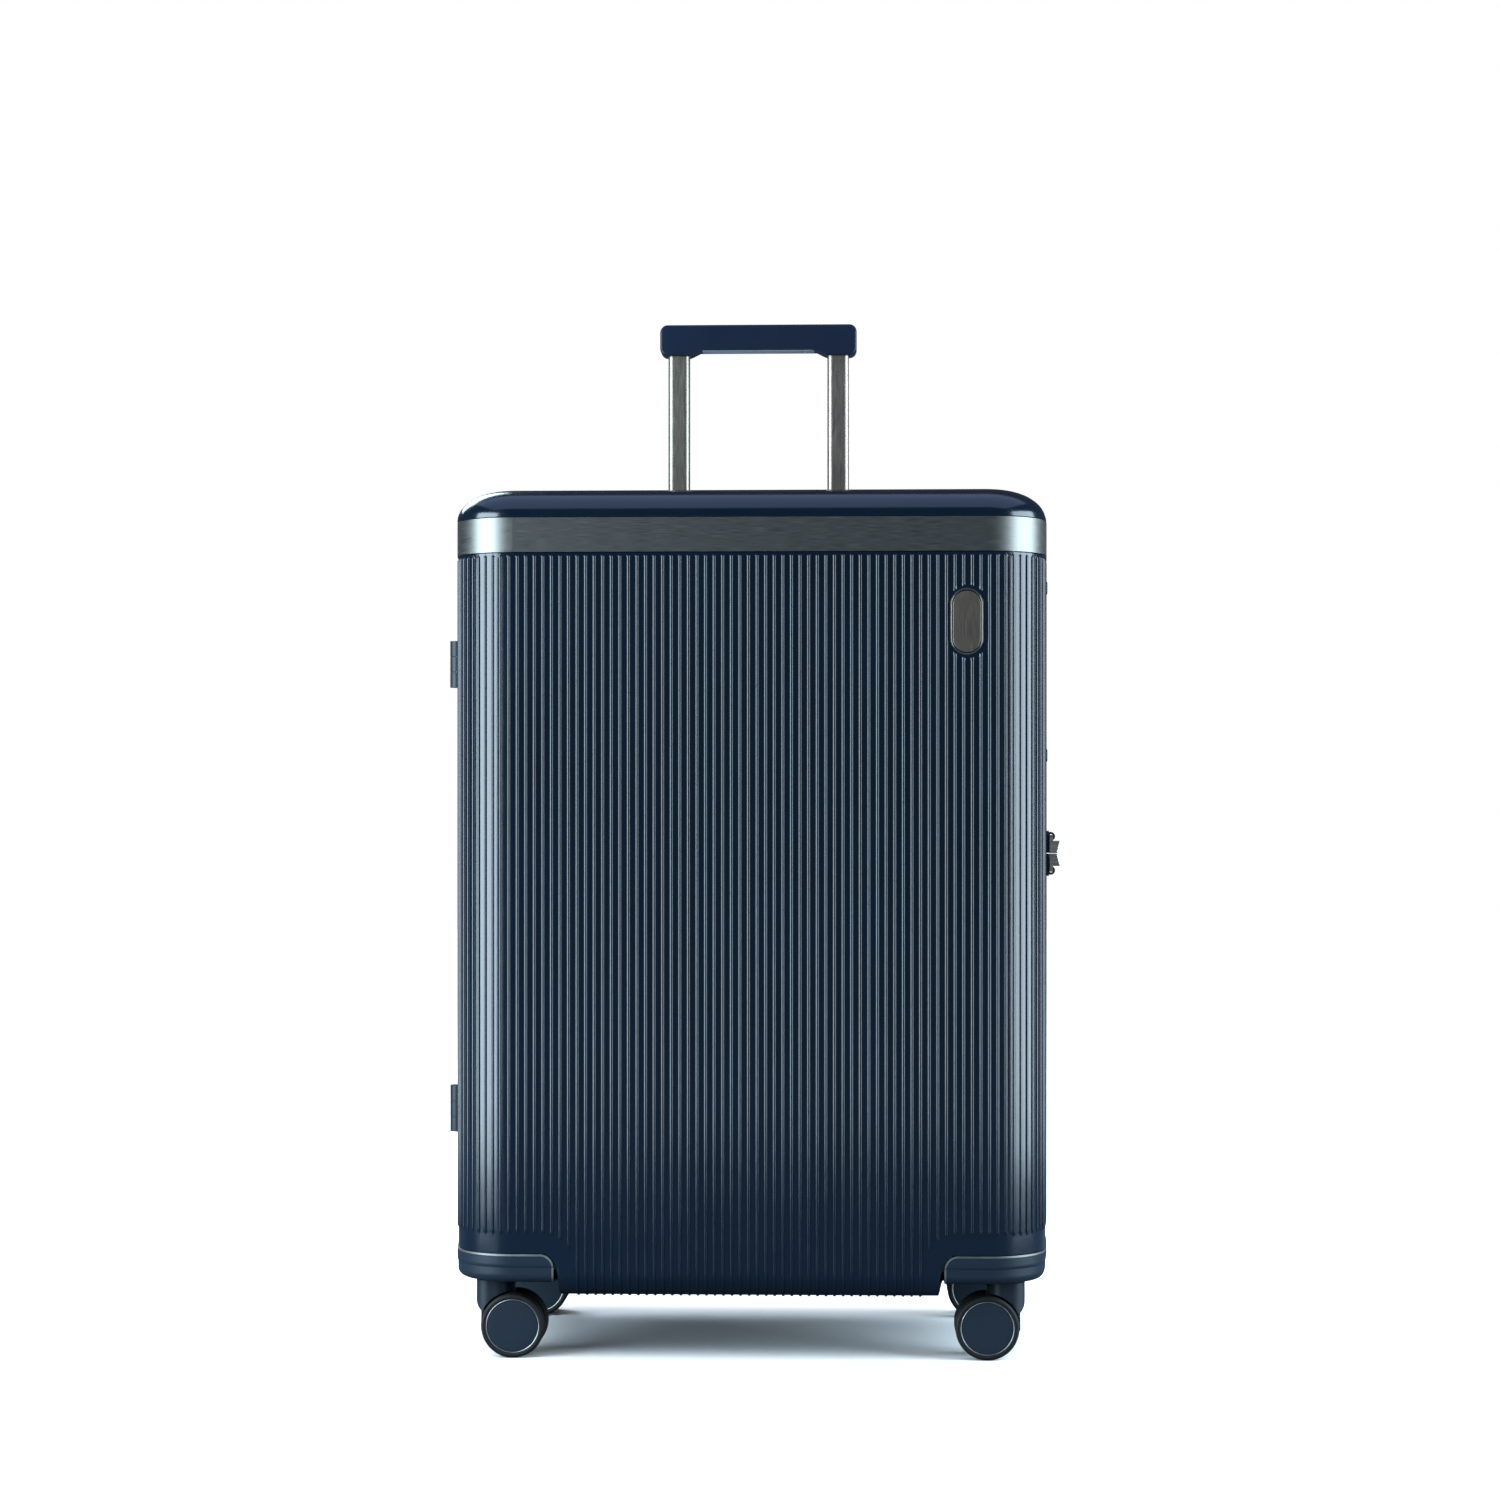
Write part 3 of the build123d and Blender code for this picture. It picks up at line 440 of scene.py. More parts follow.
def moulded(name, colour, roughness, specular=0.5, variety=0.12):
    """Moulded plastic: a faint cloudiness, a fine grain and slightly uneven gloss."""
    n = Nodes(name)
    cloud = n.noise(9.0, 4.0)
    n.set("Base Color", n.colours(cloud, [(0.3, shade(colour, 1 - variety)),
                                          (0.7, shade(colour, 1 + variety))]))
    n.set("Roughness", n.spread(n.noise(35.0, 5.0), roughness - 0.02, roughness + 0.03))
    n.set("Specular IOR Level", specular)
    n.bump(n.noise(1500.0, 2.0), 0.12, 0.00002)
    return n.material


def brushed(name, colour, roughness, stretch, anisotropic=0.5):
    """Satin metal with fine lines along one way."""
    n = Nodes(name)
    lines = n.noise(60.0, 5.0, stretch)
    n.set("Metallic", 1.0)
    n.set("Base Color", n.colours(lines, [(0.3, shade(colour, 0.9)), (0.7, shade(colour, 1.08))]))
    n.set("Roughness", n.spread(lines, roughness - 0.07, roughness + 0.08))
    n.set("Anisotropic", anisotropic)
    n.bump(lines, 0.25, 0.00004)
    return n.material


def woven(name, colour, thread=0.0011, sheen=0.35, roughness=0.85):
    """Plain weave from two crossed sets of waves, with uneven threads."""
    n = Nodes(name)
    heights = []
    bands = 0.314 / thread  # the wave texture's scale for one band to a thread
    for axis in ("X", "Z"):
        wave = n.add("TexWave", wave_type="BANDS", bands_direction=axis, Scale=bands, Distortion=0.6,
                     Detail=1.0)
        n.join(n.coords, wave.inputs["Vector"])
        heights.append(wave.outputs["Fac"])
    mix = n.add("Math", operation="MULTIPLY")
    n.join(heights[0], mix.inputs[0])
    n.join(heights[1], mix.inputs[1])
    n.set("Base Color", n.colours(mix.outputs[0], [(0.0, shade(colour, 0.7)), (0.8, shade(colour, 1.25))]))
    n.set("Roughness", n.spread(n.noise(30.0, 4.0), roughness - 0.06, roughness + 0.06))
    n.set("Sheen Weight", sheen)
    n.bump(mix.outputs[0], 0.5, 0.00025)
    return n.material


def netting(name, colour, cell):
    """Open net: a honeycomb of threads with holes between them."""
    n = Nodes(name)
    cells = n.add("TexVoronoi", feature="DISTANCE_TO_EDGE", Scale=1 / cell, Randomness=0.15)
    n.join(n.coords, cells.inputs["Vector"])
    thread = n.spread(cells.outputs["Distance"], 1.0, 0.0, 0.10, 0.18)
    n.set("Base Color", n.colours(n.noise(40.0), [(0.3, shade(colour, 0.8)), (0.7, shade(colour, 1.2))]))
    n.set("Roughness", 0.8)
    n.set("Sheen Weight", 0.3)
    n.set("Alpha", thread)
    n.bump(cells.outputs["Distance"], 0.3, 0.0002)
    return n.material


def rubber(name, colour):
    """Dull rubber with a faint mottle."""
    n = Nodes(name)
    mottle = n.noise(60.0, 6.0)
    n.set("Base Color", n.colours(mottle, [(0.3, shade(colour, 0.75)), (0.7, shade(colour, 1.4))]))
    n.set("Roughness", n.spread(n.noise(120.0, 4.0), 0.55, 0.75))
    n.bump(n.noise(700.0, 3.0), 0.3, 0.00005)
    return n.material


materials = {
    "shell_navy": moulded("shell_navy", (0.0006, 0.0085, 0.0200), 0.17, 0.85),
    "guard_navy": moulded("guard_navy", (0.018, 0.030, 0.046), 0.40, 0.35),
    "band_metal": brushed("band_metal", (0.235, 0.235, 0.22), 0.40, (1, 1, 40), 0.0),
    "trim_metal": brushed("trim_metal", (0.36, 0.37, 0.345), 0.50, (1, 1, 1), 0.0),
    "handle_metal": brushed("handle_metal", (0.42, 0.37, 0.305), 0.40, (30, 30, 1), 0.0),
    "grip_navy": moulded("grip_navy", (0.008, 0.016, 0.038), 0.36, 0.35),
    "grip_light": moulded("grip_light", (0.42, 0.44, 0.46), 0.45, 0.5, 0.05),
    "black_plastic": moulded("black_plastic", (0.010, 0.011, 0.012), 0.40),
    "slate_plastic": moulded("slate_plastic", (0.022, 0.031, 0.042), 0.42, 0.4),
    "hub_navy": moulded("hub_navy", (0.024, 0.036, 0.052), 0.34, 0.4),
    "tyre": rubber("tyre", (0.012, 0.012, 0.012)),
    "steel": brushed("steel", (0.55, 0.55, 0.54), 0.30, (1, 1, 12)),
    "tab_metal": brushed("tab_metal", (0.50, 0.43, 0.37), 0.36, (1, 1, 25)),
    "badge_metal": brushed("badge_metal", (0.30, 0.245, 0.195), 0.45, (30, 1, 1), 0.0),
    "zipper_black": woven("zipper_black", (0.012, 0.012, 0.014), 0.0008, 0.2),
    "lining_fabric": woven("lining_fabric", (0.10, 0.12, 0.15), 0.0016),
    "divider_fabric": woven("divider_fabric", (0.075, 0.09, 0.12), 0.0014),
    "webbing": woven("webbing", (0.016, 0.016, 0.02), 0.0022, 0.25),
    "mesh_cloth": netting("mesh_cloth", (0.05, 0.06, 0.085), 0.0032),
    "coil_black": moulded("coil_black", (0.012, 0.012, 0.013), 0.35),
    "piping": woven("piping", (0.02, 0.022, 0.028), 0.0009, 0.3),
    # painted highlight: near-white rings on the hubs stand in for the light on their chamfered edges
    "painted_highlight_ring": brushed("painted_highlight_ring", (0.85, 0.86, 0.80), 0.45, (1, 1, 1), 0.0),
    "rim_metal": brushed("rim_metal", (0.30, 0.27, 0.22), 0.36, (1, 1, 1), 0.0),
    # painted shade: the tubes' pressed rings are darker than the tube metal
    "dimple_painted_shade": brushed("dimple_painted_shade", (0.16, 0.155, 0.145), 0.4, (1, 1, 1), 0.0),
}


def finish_cad_nodes():
    """Every carried-over node gets its slot's material and, where it is hard, softened edges."""
    soft = ("lining", "tape", "divider", "straps")
    slots = {part["node"]: part["material_slot"] for part in frame["record"]["subparts"]}
    for node, obj in frame["nodes"].items():
        obj.data.materials.clear()
        obj.data.materials.append(materials[slots[node]])
        if not any(word in node for word in soft):
            bevel(obj, EDGE_ROUND * MM)


# ---- pieces on the seam: teeth and tape ----
def seam_outline(inset):
    """The case's outline at the seam as x, z points from the middle of the underside round to the right."""
    side_x, tier_x, radius = HALF_WIDTH - inset, HALF_WIDTH - STEP_IN - inset, 5.0
    low, belly, step = CORNER_Z + inset, BELLY_Z + inset, STEP_Z + inset
    half = [(0.0, belly), (BELLY_X - inset - 2, belly), (BELLY_X - inset, belly + 2), (BELLY_X - inset, low),
            (tier_x - radius, low), (tier_x - 1.5, low + 1.5), (tier_x, low + radius), (tier_x, step),
            (side_x - 1, step), (side_x, step + 1)]
    half.append((side_x, TOP_Z - TOP_DROP))
    for k in range(1, 13):
        turn = math.pi / 2 * k / 12
        half.append((HALF_WIDTH - TOP_RUN + (TOP_RUN - inset) * math.cos(turn),
                     TOP_Z - TOP_DROP + (TOP_DROP - inset) * math.sin(turn)))
    half.append((0.0, TOP_Z - inset))
    return np.array(half + [(-x, z) for x, z in reversed(half[1:-1])])


def lining_outline(inset):
    """A simpler outline for the cloth inside, with wide round lower corners."""
    side_x, low, belly, radius = HALF_WIDTH - inset, CORNER_Z + inset + 1.5, BELLY_Z + inset, 34.0
    half = [(0.0, belly), (BELLY_X - 16, belly), (BELLY_X - 12, belly + 2), (BELLY_X - 10, low)]
    for k in range(9):
        turn = math.pi / 2 * k / 8
        half.append((side_x - radius + radius * math.sin(turn), low + radius - radius * math.cos(turn)))
    upper = [(x, z) for x, z in seam_outline(inset) if x > 0 and z >= TOP_Z - TOP_DROP]
    half += upper + [(0.0, TOP_Z - inset)]
    return np.array(half + [(-x, z) for x, z in reversed(half[1:-1])])


def even_steps(outline, step):
    """Points evenly along a closed outline, with their unit outward directions."""
    closed = np.concatenate([outline, outline[:1]])
    lengths = np.hypot(*np.diff(closed, axis=0).T)
    along = np.concatenate([[0], np.cumsum(lengths)])
    count = int(along[-1] / step)
    places = np.arange(count) * along[-1] / count
    points = np.stack([np.interp(places, along, closed[:, i]) for i in range(2)], 1)
    tangent = np.roll(points, -1, 0) - np.roll(points, 1, 0)
    tangent /= np.hypot(*tangent.T)[:, None]
    return points, np.stack([tangent[:, 1], -tangent[:, 0]], 1), tangent


def place_piece(obj, body, material, replaced=()):
    """Puts a piece on its body, in place of the nodes it replaces."""
    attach(obj, body)
    if replaced:
        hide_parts(*replaced)
    obj.data.materials.append(materials[material])


def zipper_half(name, sign):
    """One half of the zipper: its woven tape and a row of teeth, on the side of the seam that sign says."""
    points, outward, tangent = even_steps(seam_outline(ZIP_INSET), 6.0)
    section = [(0.35, 0.0), (2.9, 0.15), (3.2, 0.4), (8.0, 0.55), (13.4, 0.5), (13.4, 1.1), (3.0, 1.1),
               (0.35, 0.9)]
    rows = []
    for y, depth in section:
        p = points - outward * (WALL - ZIP_INSET + 0.05 + depth)
        rows.append(np.stack([p[:, 0], np.full(len(p), sign * y), p[:, 1]], 1))
    rows.append(rows[0])
    faces = grid_faces(len(rows), len(points), wrap=True)
    tape = tidy(mesh_object(name + "_cloth", np.concatenate(rows) * MM, faces))
    body = name.split("_")[0] + "_case"
    place_piece(tape, body, "zipper_black", [name])
    points, outward, tangent = even_steps(seam_outline(ZIP_INSET), TOOTH_PITCH)
    verts, faces = [], []
    for k, (p, out, along) in enumerate(zip(points, outward, tangent)):
        shift = along * TOOTH_PITCH / 4 * sign
        start = len(verts)
        for depth, half, reach in ((0.15, 0.55, 2.7), (2.1, 0.75, 2.9)):
            for a, y in ((-half, 0.35), (half, 0.35), (half, reach), (-half, reach)):
                q = p + shift + along * a - out * depth
                verts.append((q[0], sign * y, q[1]))
        faces += [(start, start + 1, start + 2, start + 3), (start + 4, start + 7, start + 6, start + 5)]
        faces += [(start + i, start + 4 + i, start + 4 + (i + 1) % 4, start + (i + 1) % 4) for i in range(4)]
    teeth = tidy(mesh_object(name + "_teeth", np.array(verts) * MM, faces, smooth=False))
    place_piece(teeth, body, "coil_black")


# ---- cloth inside ----
def lining_drop(depth, run, drop):
    """How far a rounded edge with this run and drop has come in at a depth from the face."""
    return drop * (1 - math.sqrt(max(1 - (max(run - depth, 0) / run) ** 2, 0)))


def lining(name, sign, depths):
    """A fitted cloth bag: its sides with fine gathers at the seams, then its flat panel."""
    seam_gap = 3.4
    points, outward, _ = even_steps(lining_outline(LINING_INSET), 7.0)
    side = np.abs(outward[:, 0])
    up, down = np.maximum(outward[:, 1], 0), np.maximum(-outward[:, 1], 0)
    along = np.arange(len(points))
    rows = []
    for y in [seam_gap] + depths:
        depth = HALF_DEPTH - LINING_INSET - y
        sides = np.interp(y, [0, 48, 96], [0, 1.3, 5.1])  # the bowed side has come in by this much
        if y > CORNER_Y:
            sides = 5.2 + lining_drop(depth, CORNER_R - LINING_INSET, CORNER_R - LINING_INSET)
        inset = side * sides + up * lining_drop(depth, TOP_RUN, TOP_DROP)
        inset += down * lining_drop(depth, EDGE_R, EDGE_R)
        near_seam = max(math.exp(-(y - seam_gap) / 14), math.exp(-(depths[-1] - y) / 9))
        gather = (0.5 + 0.5 * np.sin(along * 2.1 + 1.7 * np.sin(along * 0.37))) * 1.1 * near_seam
        slack = (0.5 + 0.5 * np.sin(along * 0.23 + y * 0.05)) * 1.0
        p = points - outward * (inset + gather + slack)[:, None]
        rows.append(np.stack([p[:, 0], np.full(len(p), sign * y), p[:, 1]], 1))
    edge = rows[-1]
    middle = edge.mean(axis=0)
    for scale in (0.985, 0.96, 0.9, 0.8, 0.65, 0.5, 0.35, 0.2, 0.08):
        row = middle + (edge - middle) * scale
        billow = 1.4 * math.sin(math.pi * scale) + 0.5 * (1 - scale)
        row[:, 1] = edge[:, 1] - sign * (billow + 0.35 * np.sin(along * 0.9) * scale ** 6)
        rows.append(row)
    cols = len(points)
    verts = np.concatenate(rows + [rows[-1].mean(axis=0)[None]])
    faces = grid_faces(len(rows), cols, wrap=True)
    last = (len(rows) - 1) * cols
    faces += [(last + i, last + (i + 1) % cols, len(verts) - 1) for i in range(cols)]
    if sign > 0:
        faces = [tuple(reversed(face)) for face in faces]
    obj = mesh_object(name + "_cloth", verts * MM, faces)
    body = name.split("_")[0] + "_case"
    place_piece(obj, body, "lining_fabric", [name])
    edging(name + "_piping", body, edge[:, [0, 2]], edge[:, 1] - sign * 1.2, 1.3)


def tube_along(name, points, radius, sides=8):
    """A closed round tube along points in millimetres that lie in a plane across Y."""
    tangent = np.roll(points, -1, 0) - np.roll(points, 1, 0)
    tangent /= np.linalg.norm(tangent, axis=1)[:, None]
    across = np.cross(tangent, [0, 1, 0])
    rows = []
    for k in range(sides):
        turn = 2 * math.pi * k / sides
        rows.append(points + across * radius * math.cos(turn) + np.array([0, radius * math.sin(turn), 0]))
    rows.append(rows[0])
    obj = mesh_object(name, np.concatenate(rows) * MM, grid_faces(len(rows), len(points), wrap=True))
    return tidy(obj)


def edging(name, body, outline, y, radius):
    """Piping round an outline of x, z points at one y, or at a y for each point."""
    points = np.stack([outline[:, 0], np.full(len(outline), 1.0) * y, outline[:, 1]], 1)
    place_piece(tube_along(name, points, radius), body, "piping")


def rounded_outline(half_x, half_z, radius, step=12.0, centre=(0.0, 0.0)):
    """A closed outline with round corners as x, z points."""
    points = []
    for quarter, (sx, sz) in enumerate(((1, -1), (1, 1), (-1, 1), (-1, -1))):
        for k in range(7):
            turn = math.pi / 2 * (quarter - 1 + k / 6)
            points.append((centre[0] + sx * (half_x - radius) + radius * math.cos(turn),
                           centre[1] + sz * (half_z - radius) + radius * math.sin(turn)))
    return even_steps(np.array(points), step)[0]


def cloth_panel(name, outline, y, swell, gather):
    """A flat cloth panel across Y inside an outline, slightly swollen, with gathers near its edge."""
    middle = outline.mean(axis=0)
    along = np.arange(len(outline))
    rows = []
    for scale in (1.0, 0.99, 0.975, 0.95, 0.9, 0.82, 0.7, 0.55, 0.4, 0.25, 0.1):
        p = middle + (outline - middle) * scale
        near_edge = math.exp(-(1 - scale) * 40) * (scale < 1)
        lift = swell * (1 - scale ** 4) + gather * np.sin(along * 1.9) * near_edge
        rows.append(np.stack([p[:, 0], y + lift, p[:, 1]], 1))
    cols = len(outline)
    verts = np.concatenate(rows + [rows[-1].mean(axis=0)[None]])
    faces = grid_faces(len(rows), cols, wrap=True)
    last = (len(rows) - 1) * cols
    faces += [(last + i, last + (i + 1) % cols, len(verts) - 1) for i in range(cols)]
    return mesh_object(name, verts * MM, faces)


def divider():
    """The front half's zip-round cloth divider, with a mesh pocket and its edge binding."""
    low, high = box_mm("divider_panel")
    y = (low[1] + high[1]) / 2
    rise = 5.5  # its lower edge stays this much further off the case's wall on both sides
    half_x, half_z = (high[0] - low[0]) / 2 - 3.0, (high[2] - low[2]) / 2 - 3.0 - rise
    centre_z = (low[2] + high[2]) / 2 + rise
    outline = rounded_outline(half_x, half_z, 34, 9.0, ((low[0] + high[0]) / 2, centre_z))
    panel = cloth_panel("divider_cloth", outline, y, 1.1, 0.35)
    place_piece(panel, "front_case", "divider_fabric", ["divider_panel"])
    edging("divider_binding", "front_case", outline, y, 1.6)
    pocket_outline = rounded_outline(half_x - 40, 150, 22, 9.0, (0.0, centre_z + 110))
    pocket = cloth_panel("divider_pocket", pocket_outline, y + 1.5, 2.2, 0.3)
    place_piece(pocket, "front_case", "mesh_cloth")
    edging("divider_pocket_edge", "front_case", pocket_outline, y + 1.9, 1.2)


def wheel_covers():
    """Padded cloth covers standing on the floor of each half, over the casters' bolts."""
    for end, side_y in (("front", -1), ("rear", 1)):
        for side, side_x in (("left", -1), ("right", 1)):
            middle = np.array([side_x * CASTER_X, side_y * CASTER_Y])
            outline = rounded_outline(COVER_HALF, COVER_HALF, 22.0, 2.5, tuple(middle))
            gather = 0.3 * np.sin(np.arange(len(outline)) * 1.3)
            loops = []
            for z, scale in COVER_PROFILE:
                p = middle + (outline - middle) * scale
                lift = gather * (0.6 < scale < 0.99)
                loops.append(np.stack([p[:, 0], p[:, 1], z + lift], 1))
            obj = stacked(f"wheel_cover_{end}_{side}", loops)
            place_piece(obj, f"{end}_case", "lining_fabric")


def strap_strip(name, start, end, y, width, thick):
    """One flat webbing strip between two x, z points, with rolled edges and a slight sag."""
    start, end = np.array(start), np.array(end)
    length = np.hypot(*(end - start))
    along = (end - start) / length
    across = np.array([-along[1], along[0]])
    section = [(-0.5, -0.3), (-0.47, -0.5), (-0.42, -0.38), (0.42, -0.38), (0.47, -0.5), (0.5, -0.3),
               (0.5, 0.3), (0.47, 0.5), (0.42, 0.38), (-0.42, 0.38), (-0.47, 0.5), (-0.5, 0.3)]
    rows, steps = [], 40
    for k in range(steps + 1):
        t = k / steps
        p = start + (end - start) * t
        sag = 0.45 * math.sin(math.pi * t) * math.sin(9 * t)
        rows.append([(p[0] + across[0] * u * width, y + sag + v * thick, p[1] + across[1] * u * width)
                     for u, v in section])
    cols = len(section)
    faces = grid_faces(len(rows), cols, wrap=True)
    faces += [tuple(reversed(range(cols))), tuple(range(steps * cols, (steps + 1) * cols))]
    obj = mesh_object(name, np.array(rows).reshape(-1, 3) * MM, faces)
    return sharp_by_angle(tidy(obj), 40)


def straps():
    """Four webbing strips from the case's sides to the buckle, and the stitched patches at their ends."""
    low, high = box_mm("compression_straps")
    buckle_low, buckle_high = box_mm("strap_buckle")
    y, middle = (low[1] + high[1]) / 2, (buckle_low[2] + buckle_high[2]) / 2
    first = True
    for side in (-1, 1):
        for up in (-1, 1):
            place = ("left", "right")[side > 0] + ("_lower", "_upper")[up > 0]
            start, end = (side * STRAP_END_X, middle + up * STRAP_END_UP), (side * 24, middle + up * 4)
            strip = strap_strip(f"strap_{place}", start, end, y + up * 0.05, STRAP_WIDTH, STRAP_THICK)
            place_piece(strip, "rear_case", "webbing", ["compression_straps"] if first else [])
            first = False
            toe = (start[0] + (end[0] - start[0]) * 0.07, start[1] + (end[1] - start[1]) * 0.07)
            patch = strap_strip(f"strap_patch_{place}", start, toe, y - 1.35, STRAP_WIDTH + 2, 1.1)
            place_piece(patch, "rear_case", "webbing")


# ---- turned pieces ----
def lathe(name, profile, centre, side, closed, steps=72):
    """Turns (radius, depth) points about an axis along Y; depth runs from the outer face inwards."""
    rows = []
    for radius, depth in profile + ([profile[0]] if closed else []):
        turn = 2 * math.pi * np.arange(steps) / steps
        rows.append(np.stack([centre[0] + radius * np.cos(turn), np.full(steps, centre[1] - side * depth),
                              centre[2] + radius * np.sin(turn)], 1))
    verts = np.concatenate(rows)
    obj = mesh_object(name, verts * MM, grid_faces(len(rows), steps, wrap=True))
    tidy(obj, 1e-7)
    return sharp_by_angle(obj, 32)


# sections as radius and depth: a tyre with two fine grooves, a dished hub with its boss, and its pale ring, a
# painted highlight of the hub's chamfered edge
TYRE = [(23.05, 0.9), (23.5, 0.25), (24.0, 0.05), (24.8, 0.0), (24.95, 0.35), (25.15, 0.35), (25.3, 0.0),
        (26.1, 0.15), (26.8, 0.7), (27.3, 1.7), (27.5, 3.0), (27.5, 6.2), (27.15, 6.5), (27.15, 7.5),
        (27.5, 7.8), (27.5, 11.0), (27.3, 12.3), (26.8, 13.3), (26.1, 13.85), (23.6, 14.0), (23.05, 13.4)]
HUB = [(0.0, 0.75), (9.0, 0.72), (16.0, 0.7), (20.6, 0.72), (21.7, 0.85), (21.95, 1.25), (22.2, 1.25),
       (22.35, 1.0), (22.95, 1.0), (23.0, 2.0), (23.0, 12.8), (22.3, 13.3), (21.2, 12.4), (19.0, 10.8),
       (9.0, 10.2), (7.2, 11.0), (6.0, 12.0), (5.9, 14.6), (3.2, 14.8), (3.2, 9.0)]
RING = [(22.4, 1.1), (22.45, 0.72), (22.65, 0.62), (22.85, 0.72), (22.9, 1.1)]


def wheels(place):
    """The twin wheels of one caster: tyres with a tread line, dished hubs and their thin pale rings, painted
    highlights of the hubs' chamfered edges.
    """
    low, high = box_mm(place + "_tyres")
    x, z = (low[0] + high[0]) / 2, (low[2] + high[2]) / 2
    body = place + "_wheels"
    for side, y, label in ((-1, low[1], "outer"), (1, high[1], "inner")):
        replaced = label == "outer"
        tyre = lathe(f"{place}_tyre_{label}", TYRE, (x, y, z), side, True)
        place_piece(tyre, body, "tyre", [place + "_tyres"] if replaced else [])
        hub = lathe(f"{place}_hub_{label}", HUB, (x, y, z), side, False)
        place_piece(hub, body, "hub_navy", [place + "_hubs"] if replaced else [])
        # the pale ring is a painted highlight of the hub's chamfered edge
        ring = lathe(f"{place}_ring_{label}", RING, (x, y, z), side, False, 96)
        place_piece(ring, body, "painted_highlight_ring")


def stacked(name, loops):
    """A closed piece through loops of x, y, z points, with its last loop filled."""
    cols = len(loops[0])
    faces = grid_faces(len(loops), cols, wrap=True)
    faces.append(tuple(range((len(loops) - 1) * cols, len(loops) * cols)))
    obj = mesh_object(name, np.concatenate(loops) * MM, faces)
    return sharp_by_angle(tidy(obj), 30)


def pill(half_width, half_height, y):
    """A pill outline on the front face at depth y, round the badge's middle."""
    points = []
    for k in range(64):
        turn = 2 * math.pi * k / 64
        up = math.copysign(half_height - half_width, math.sin(turn)) if abs(math.sin(turn)) > 1e-9 else 0
        points.append((BADGE_X + half_width * math.cos(turn), y, BADGE_Z + up + half_width * math.sin(turn)))
    return np.array(points)


def badge():
    """A blank plate: a well in black, painted shade for the gap round the plate, thin bright rim, and a
    brushed face a little below it.
    """
    low, high = box_mm("badge_plate")
    face = low[1]
    half_width, half_height = (high[0] - low[0]) / 2, (high[2] - low[2]) / 2
    def pills(steps):
        return [pill(half_width - inset, half_height - inset, face + depth) for inset, depth in steps]

    plate = stacked("badge_plate_face", pills([(2.3, 0.9), (2.3, 0.45), (2.6, 0.2), (3.2, 0.15)]))
    place_piece(plate, "front_case", "badge_metal", ["badge_plate"])
    # painted shade: the groove between rim and plate is coloured black for the dark gap
    well = stacked("badge_plate_well", pills([(1.2, 0.95), (1.4, 0.7), (2.6, 0.7)]))
    place_piece(well, "front_case", "black_plastic")
    rim = pills([(0.0, 0.9), (0.0, 0.25), (0.25, 0.0), (0.9, 0.0), (1.15, 0.2), (1.15, 0.9)])
    faces = grid_faces(len(rim), len(rim[0]), wrap=True)
    obj = mesh_object("badge_plate_rim", np.concatenate(rim) * MM, faces)
    place_piece(sharp_by_angle(tidy(obj), 30), "front_case", "rim_metal")


def knurled_dial(index):
    """A lock dial with a finely grooved edge."""
    low, high = box_mm(f"lock_dial_{index}")
    x, y = (low[0] + high[0]) / 2, (low[1] + high[1]) / 2
    radius, steps = (high[1] - low[1]) / 2, 120
    turn = 2 * math.pi * np.arange(steps) / steps
    wave = 0.5 + 0.5 * np.sign(np.sin(turn * 20))
    rows = []
    for scale, z in ((0.35, low[2]), (0.93, low[2]), (1.0, low[2] + 0.6),
                     (1.0, high[2] - 0.6), (0.93, high[2]), (0.35, high[2])):
        r = radius * scale - (0.35 * wave if scale == 1.0 else 0)
        rows.append(np.stack([x + r * np.cos(turn), y + r * np.sin(turn), np.full(steps, z)], 1))
    rows.append(rows[0])
    dial = f"lock_dial_{index}"
    faces = grid_faces(len(rows), steps, wrap=True)
    obj = tidy(mesh_object(dial + "_knurled", np.concatenate(rows) * MM, faces), 1e-7)
    place_piece(sharp_by_angle(obj, 30), dial, "steel", [dial])


def tube_dimples():
    """Two small pressed rings near the top of each tube, on its front, in a darker metal that is painted
    shade in the pressings.
    """
    low, high = box_mm("handle_tubes")
    centre_x = high[0] - TUBE_WIDTH / 2
    profile = [(0.0, 0.25), (1.3, 0.2), (1.7, 0.0), (2.1, -0.08), (2.5, 0.0), (2.6, 0.2)]
    for side, label in ((-1, "left"), (1, "right")):
        for level, z in (("upper", high[2] - 15.0), ("lower", high[2] - 27.0)):
            centre = (side * centre_x, low[1] + 0.05, z)
            obj = lathe(f"tube_dimple_{label}_{level}", profile, centre, -1, False, 32)
            place_piece(obj, "handle", "dimple_painted_shade")


# ---- floor, light, camera ----
FLOOR_RADIUS, FLOOR_CENTRE_Y = 9.0, 0.9
FLOOR_SUN = 4.2             # brings the floor to the surroundings' white
COOL, BLUE = (0.70, 0.87, 1.0), (0.46, 0.60, 1.0)
SOFTBOXES = {               # place, target, size, power and colour
    "left_panel": ((-1.35, -0.86, 0.64), (0, 0, 0.6), (1.10, 1.5), 47, COOL),
    "right_panel": ((1.6, -0.36, 0.64), (0, 0, 0.6), (1.35, 1.5), 46, COOL),
    "top_panel": ((0, -0.2, 2.7), (0, -0.1, 0.5), (4.0, 3.0), 34, BLUE),
    "back_panel": ((-1.5, 2.3, 2.2), (0, 0, 0.5), (1.6, 1.2), 40, COOL),
}
EYE_AZIMUTH, EYE_DISTANCE, EYE_HEIGHT = 1.95, 2.65, 0.464
FIELD_OF_VIEW, SENSOR = 28.7, 36.0
SHIFT_X, SHIFT_Y = -0.0029333, 0.0466667  # shares of the frame's width


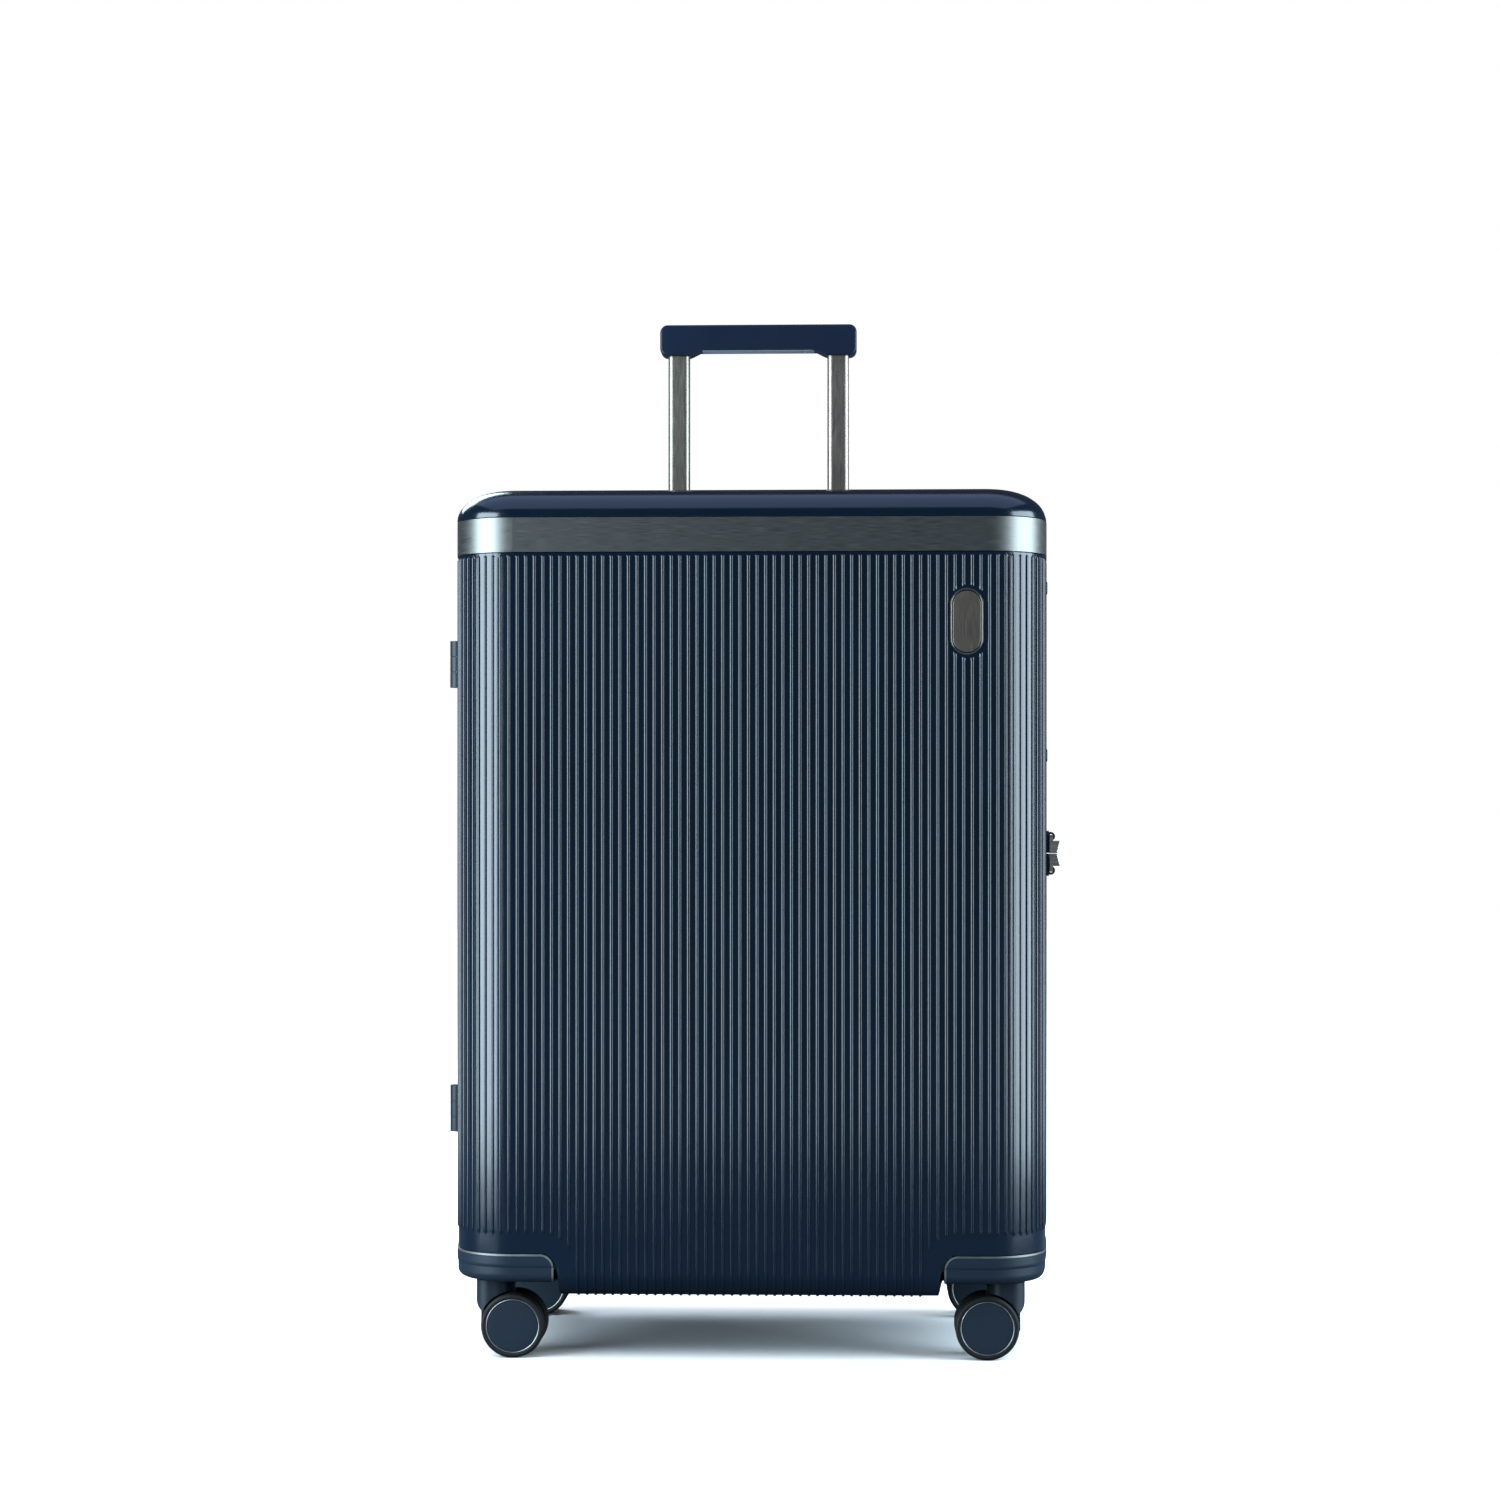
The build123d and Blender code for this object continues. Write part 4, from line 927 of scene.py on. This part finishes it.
def floor_material():
    """Plain and pale to the eye; what the case mirrors is darker, as with a studio's black cards."""
    n = Nodes("floor_white")
    n.set("Base Color", n.colours(n.noise(3.0), [(0.3, (0.885, 0.885, 0.885)), (0.7, (0.9, 0.9, 0.9))]))
    n.set("Roughness", 0.9)
    n.set("Specular IOR Level", 0.0)
    dark, mix, path = n.add("BsdfDiffuse"), n.add("MixShader"), n.add("LightPath")
    dark.inputs["Color"].default_value = (0.045, 0.060, 0.085, 1)
    n.join(path.outputs["Is Camera Ray"], mix.inputs["Fac"])
    n.join(dark.outputs[0], mix.inputs[1])
    n.join(n.shader.outputs[0], mix.inputs[2])
    n.join(mix.outputs[0], n.tree.nodes["Material Output"].inputs["Surface"])
    return n.material


def pale_floor():
    """A plain pale round floor, as bright as the white surroundings where no shadow falls."""
    rings, steps = 3, 64
    verts = [(0, FLOOR_CENTRE_Y, 0)]
    for ring in range(1, rings + 1):
        for k in range(steps):
            turn = 2 * math.pi * k / steps
            r = FLOOR_RADIUS * ring / rings
            verts.append((r * math.cos(turn), FLOOR_CENTRE_Y + r * math.sin(turn), 0))
    faces = [(0, 1 + k, 1 + (k + 1) % steps) for k in range(steps)]
    faces += [tuple(reversed(face)) for face in grid_faces(rings, steps, 1, wrap=True)]
    floor = mesh_object("floor", verts, faces)
    floor.data.materials.append(floor_material())


def area_light(name, place, target, size, power, colour):
    """A softbox at a place, turned to a target."""
    data = bpy.data.lights.new(name, "AREA")
    data.shape = "RECTANGLE"
    data.size, data.size_y = size
    data.energy = power
    data.color = colour
    light = bpy.data.objects.new(name, data)
    light.location = place
    light.rotation_euler = (Vector(target) - Vector(place)).to_track_quat("-Z", "Y").to_euler()
    bpy.context.scene.collection.objects.link(light)


def floor_light():
    """An even light on the floor alone, so that it is as white as what lies beyond it."""
    data = bpy.data.lights.new("floor_light", "SUN")
    data.energy = FLOOR_SUN
    data.angle = math.radians(100)
    light = bpy.data.objects.new("floor_light", data)
    bpy.context.scene.collection.objects.link(light)
    lit = bpy.data.collections.new("lit_by_floor_light")
    lit.objects.link(bpy.data.objects["floor"])
    light.light_linking.receiver_collection = lit


def studio():
    """White surroundings as seen by the eye, dim ones as seen by the object, and large softboxes."""
    world = bpy.data.worlds.new("studio")
    world.use_nodes = True
    tree = world.node_tree
    dim = tree.nodes["Background"]
    dim.inputs["Color"].default_value = (0.75, 0.88, 1.0, 1)
    dim.inputs["Strength"].default_value = 0.07
    white = tree.nodes.new("ShaderNodeBackground")
    white.inputs["Color"].default_value = (1, 1, 1, 1)
    mix, path = tree.nodes.new("ShaderNodeMixShader"), tree.nodes.new("ShaderNodeLightPath")
    tree.links.new(path.outputs["Is Camera Ray"], mix.inputs["Fac"])
    tree.links.new(dim.outputs[0], mix.inputs[1])
    tree.links.new(white.outputs[0], mix.inputs[2])
    tree.links.new(mix.outputs[0], tree.nodes["World Output"].inputs["Surface"])
    bpy.context.scene.world = world
    for name, values in SOFTBOXES.items():
        area_light(name, *values)
    floor_light()
    bpy.context.scene.view_settings.view_transform = "Standard"


def camera():
    """At the case's mid height, almost straight in front; the horizon lies a little below the middle."""
    azimuth = math.radians(EYE_AZIMUTH)
    data = bpy.data.cameras.new("camera")
    data.sensor_width = SENSOR
    data.lens = SENSOR / (2 * math.tan(math.radians(FIELD_OF_VIEW) / 2))
    data.shift_x, data.shift_y = SHIFT_X, SHIFT_Y
    data.clip_start, data.clip_end = 0.05, 50
    cam = bpy.data.objects.new("camera", data)
    cam.location = (EYE_DISTANCE * math.sin(azimuth), -EYE_DISTANCE * math.cos(azimuth), EYE_HEIGHT)
    cam.rotation_euler = (math.pi / 2, 0, azimuth)
    bpy.context.scene.collection.objects.link(cam)
    bpy.context.scene.camera = cam


camera()
pale_floor()
studio()
finish_cad_nodes()
shell("front_shell", True)
shell("rear_shell", False)
badge()
for place in ("front_left", "front_right", "rear_left", "rear_right"):
    wheels(place)
zipper_half("front_zipper_tape", -1)
zipper_half("rear_zipper_tape", 1)
lining("front_lining", -1, [10, 20, 40, 70, 95, 108, 120, 130, 137, 141, 143.4])
lining("rear_lining", 1, [10, 20, 40, 60, 80, 92, 99.2])
divider()
wheel_covers()
straps()
for dial in (1, 2, 3):
    knurled_dial(dial)
tube_dimples()
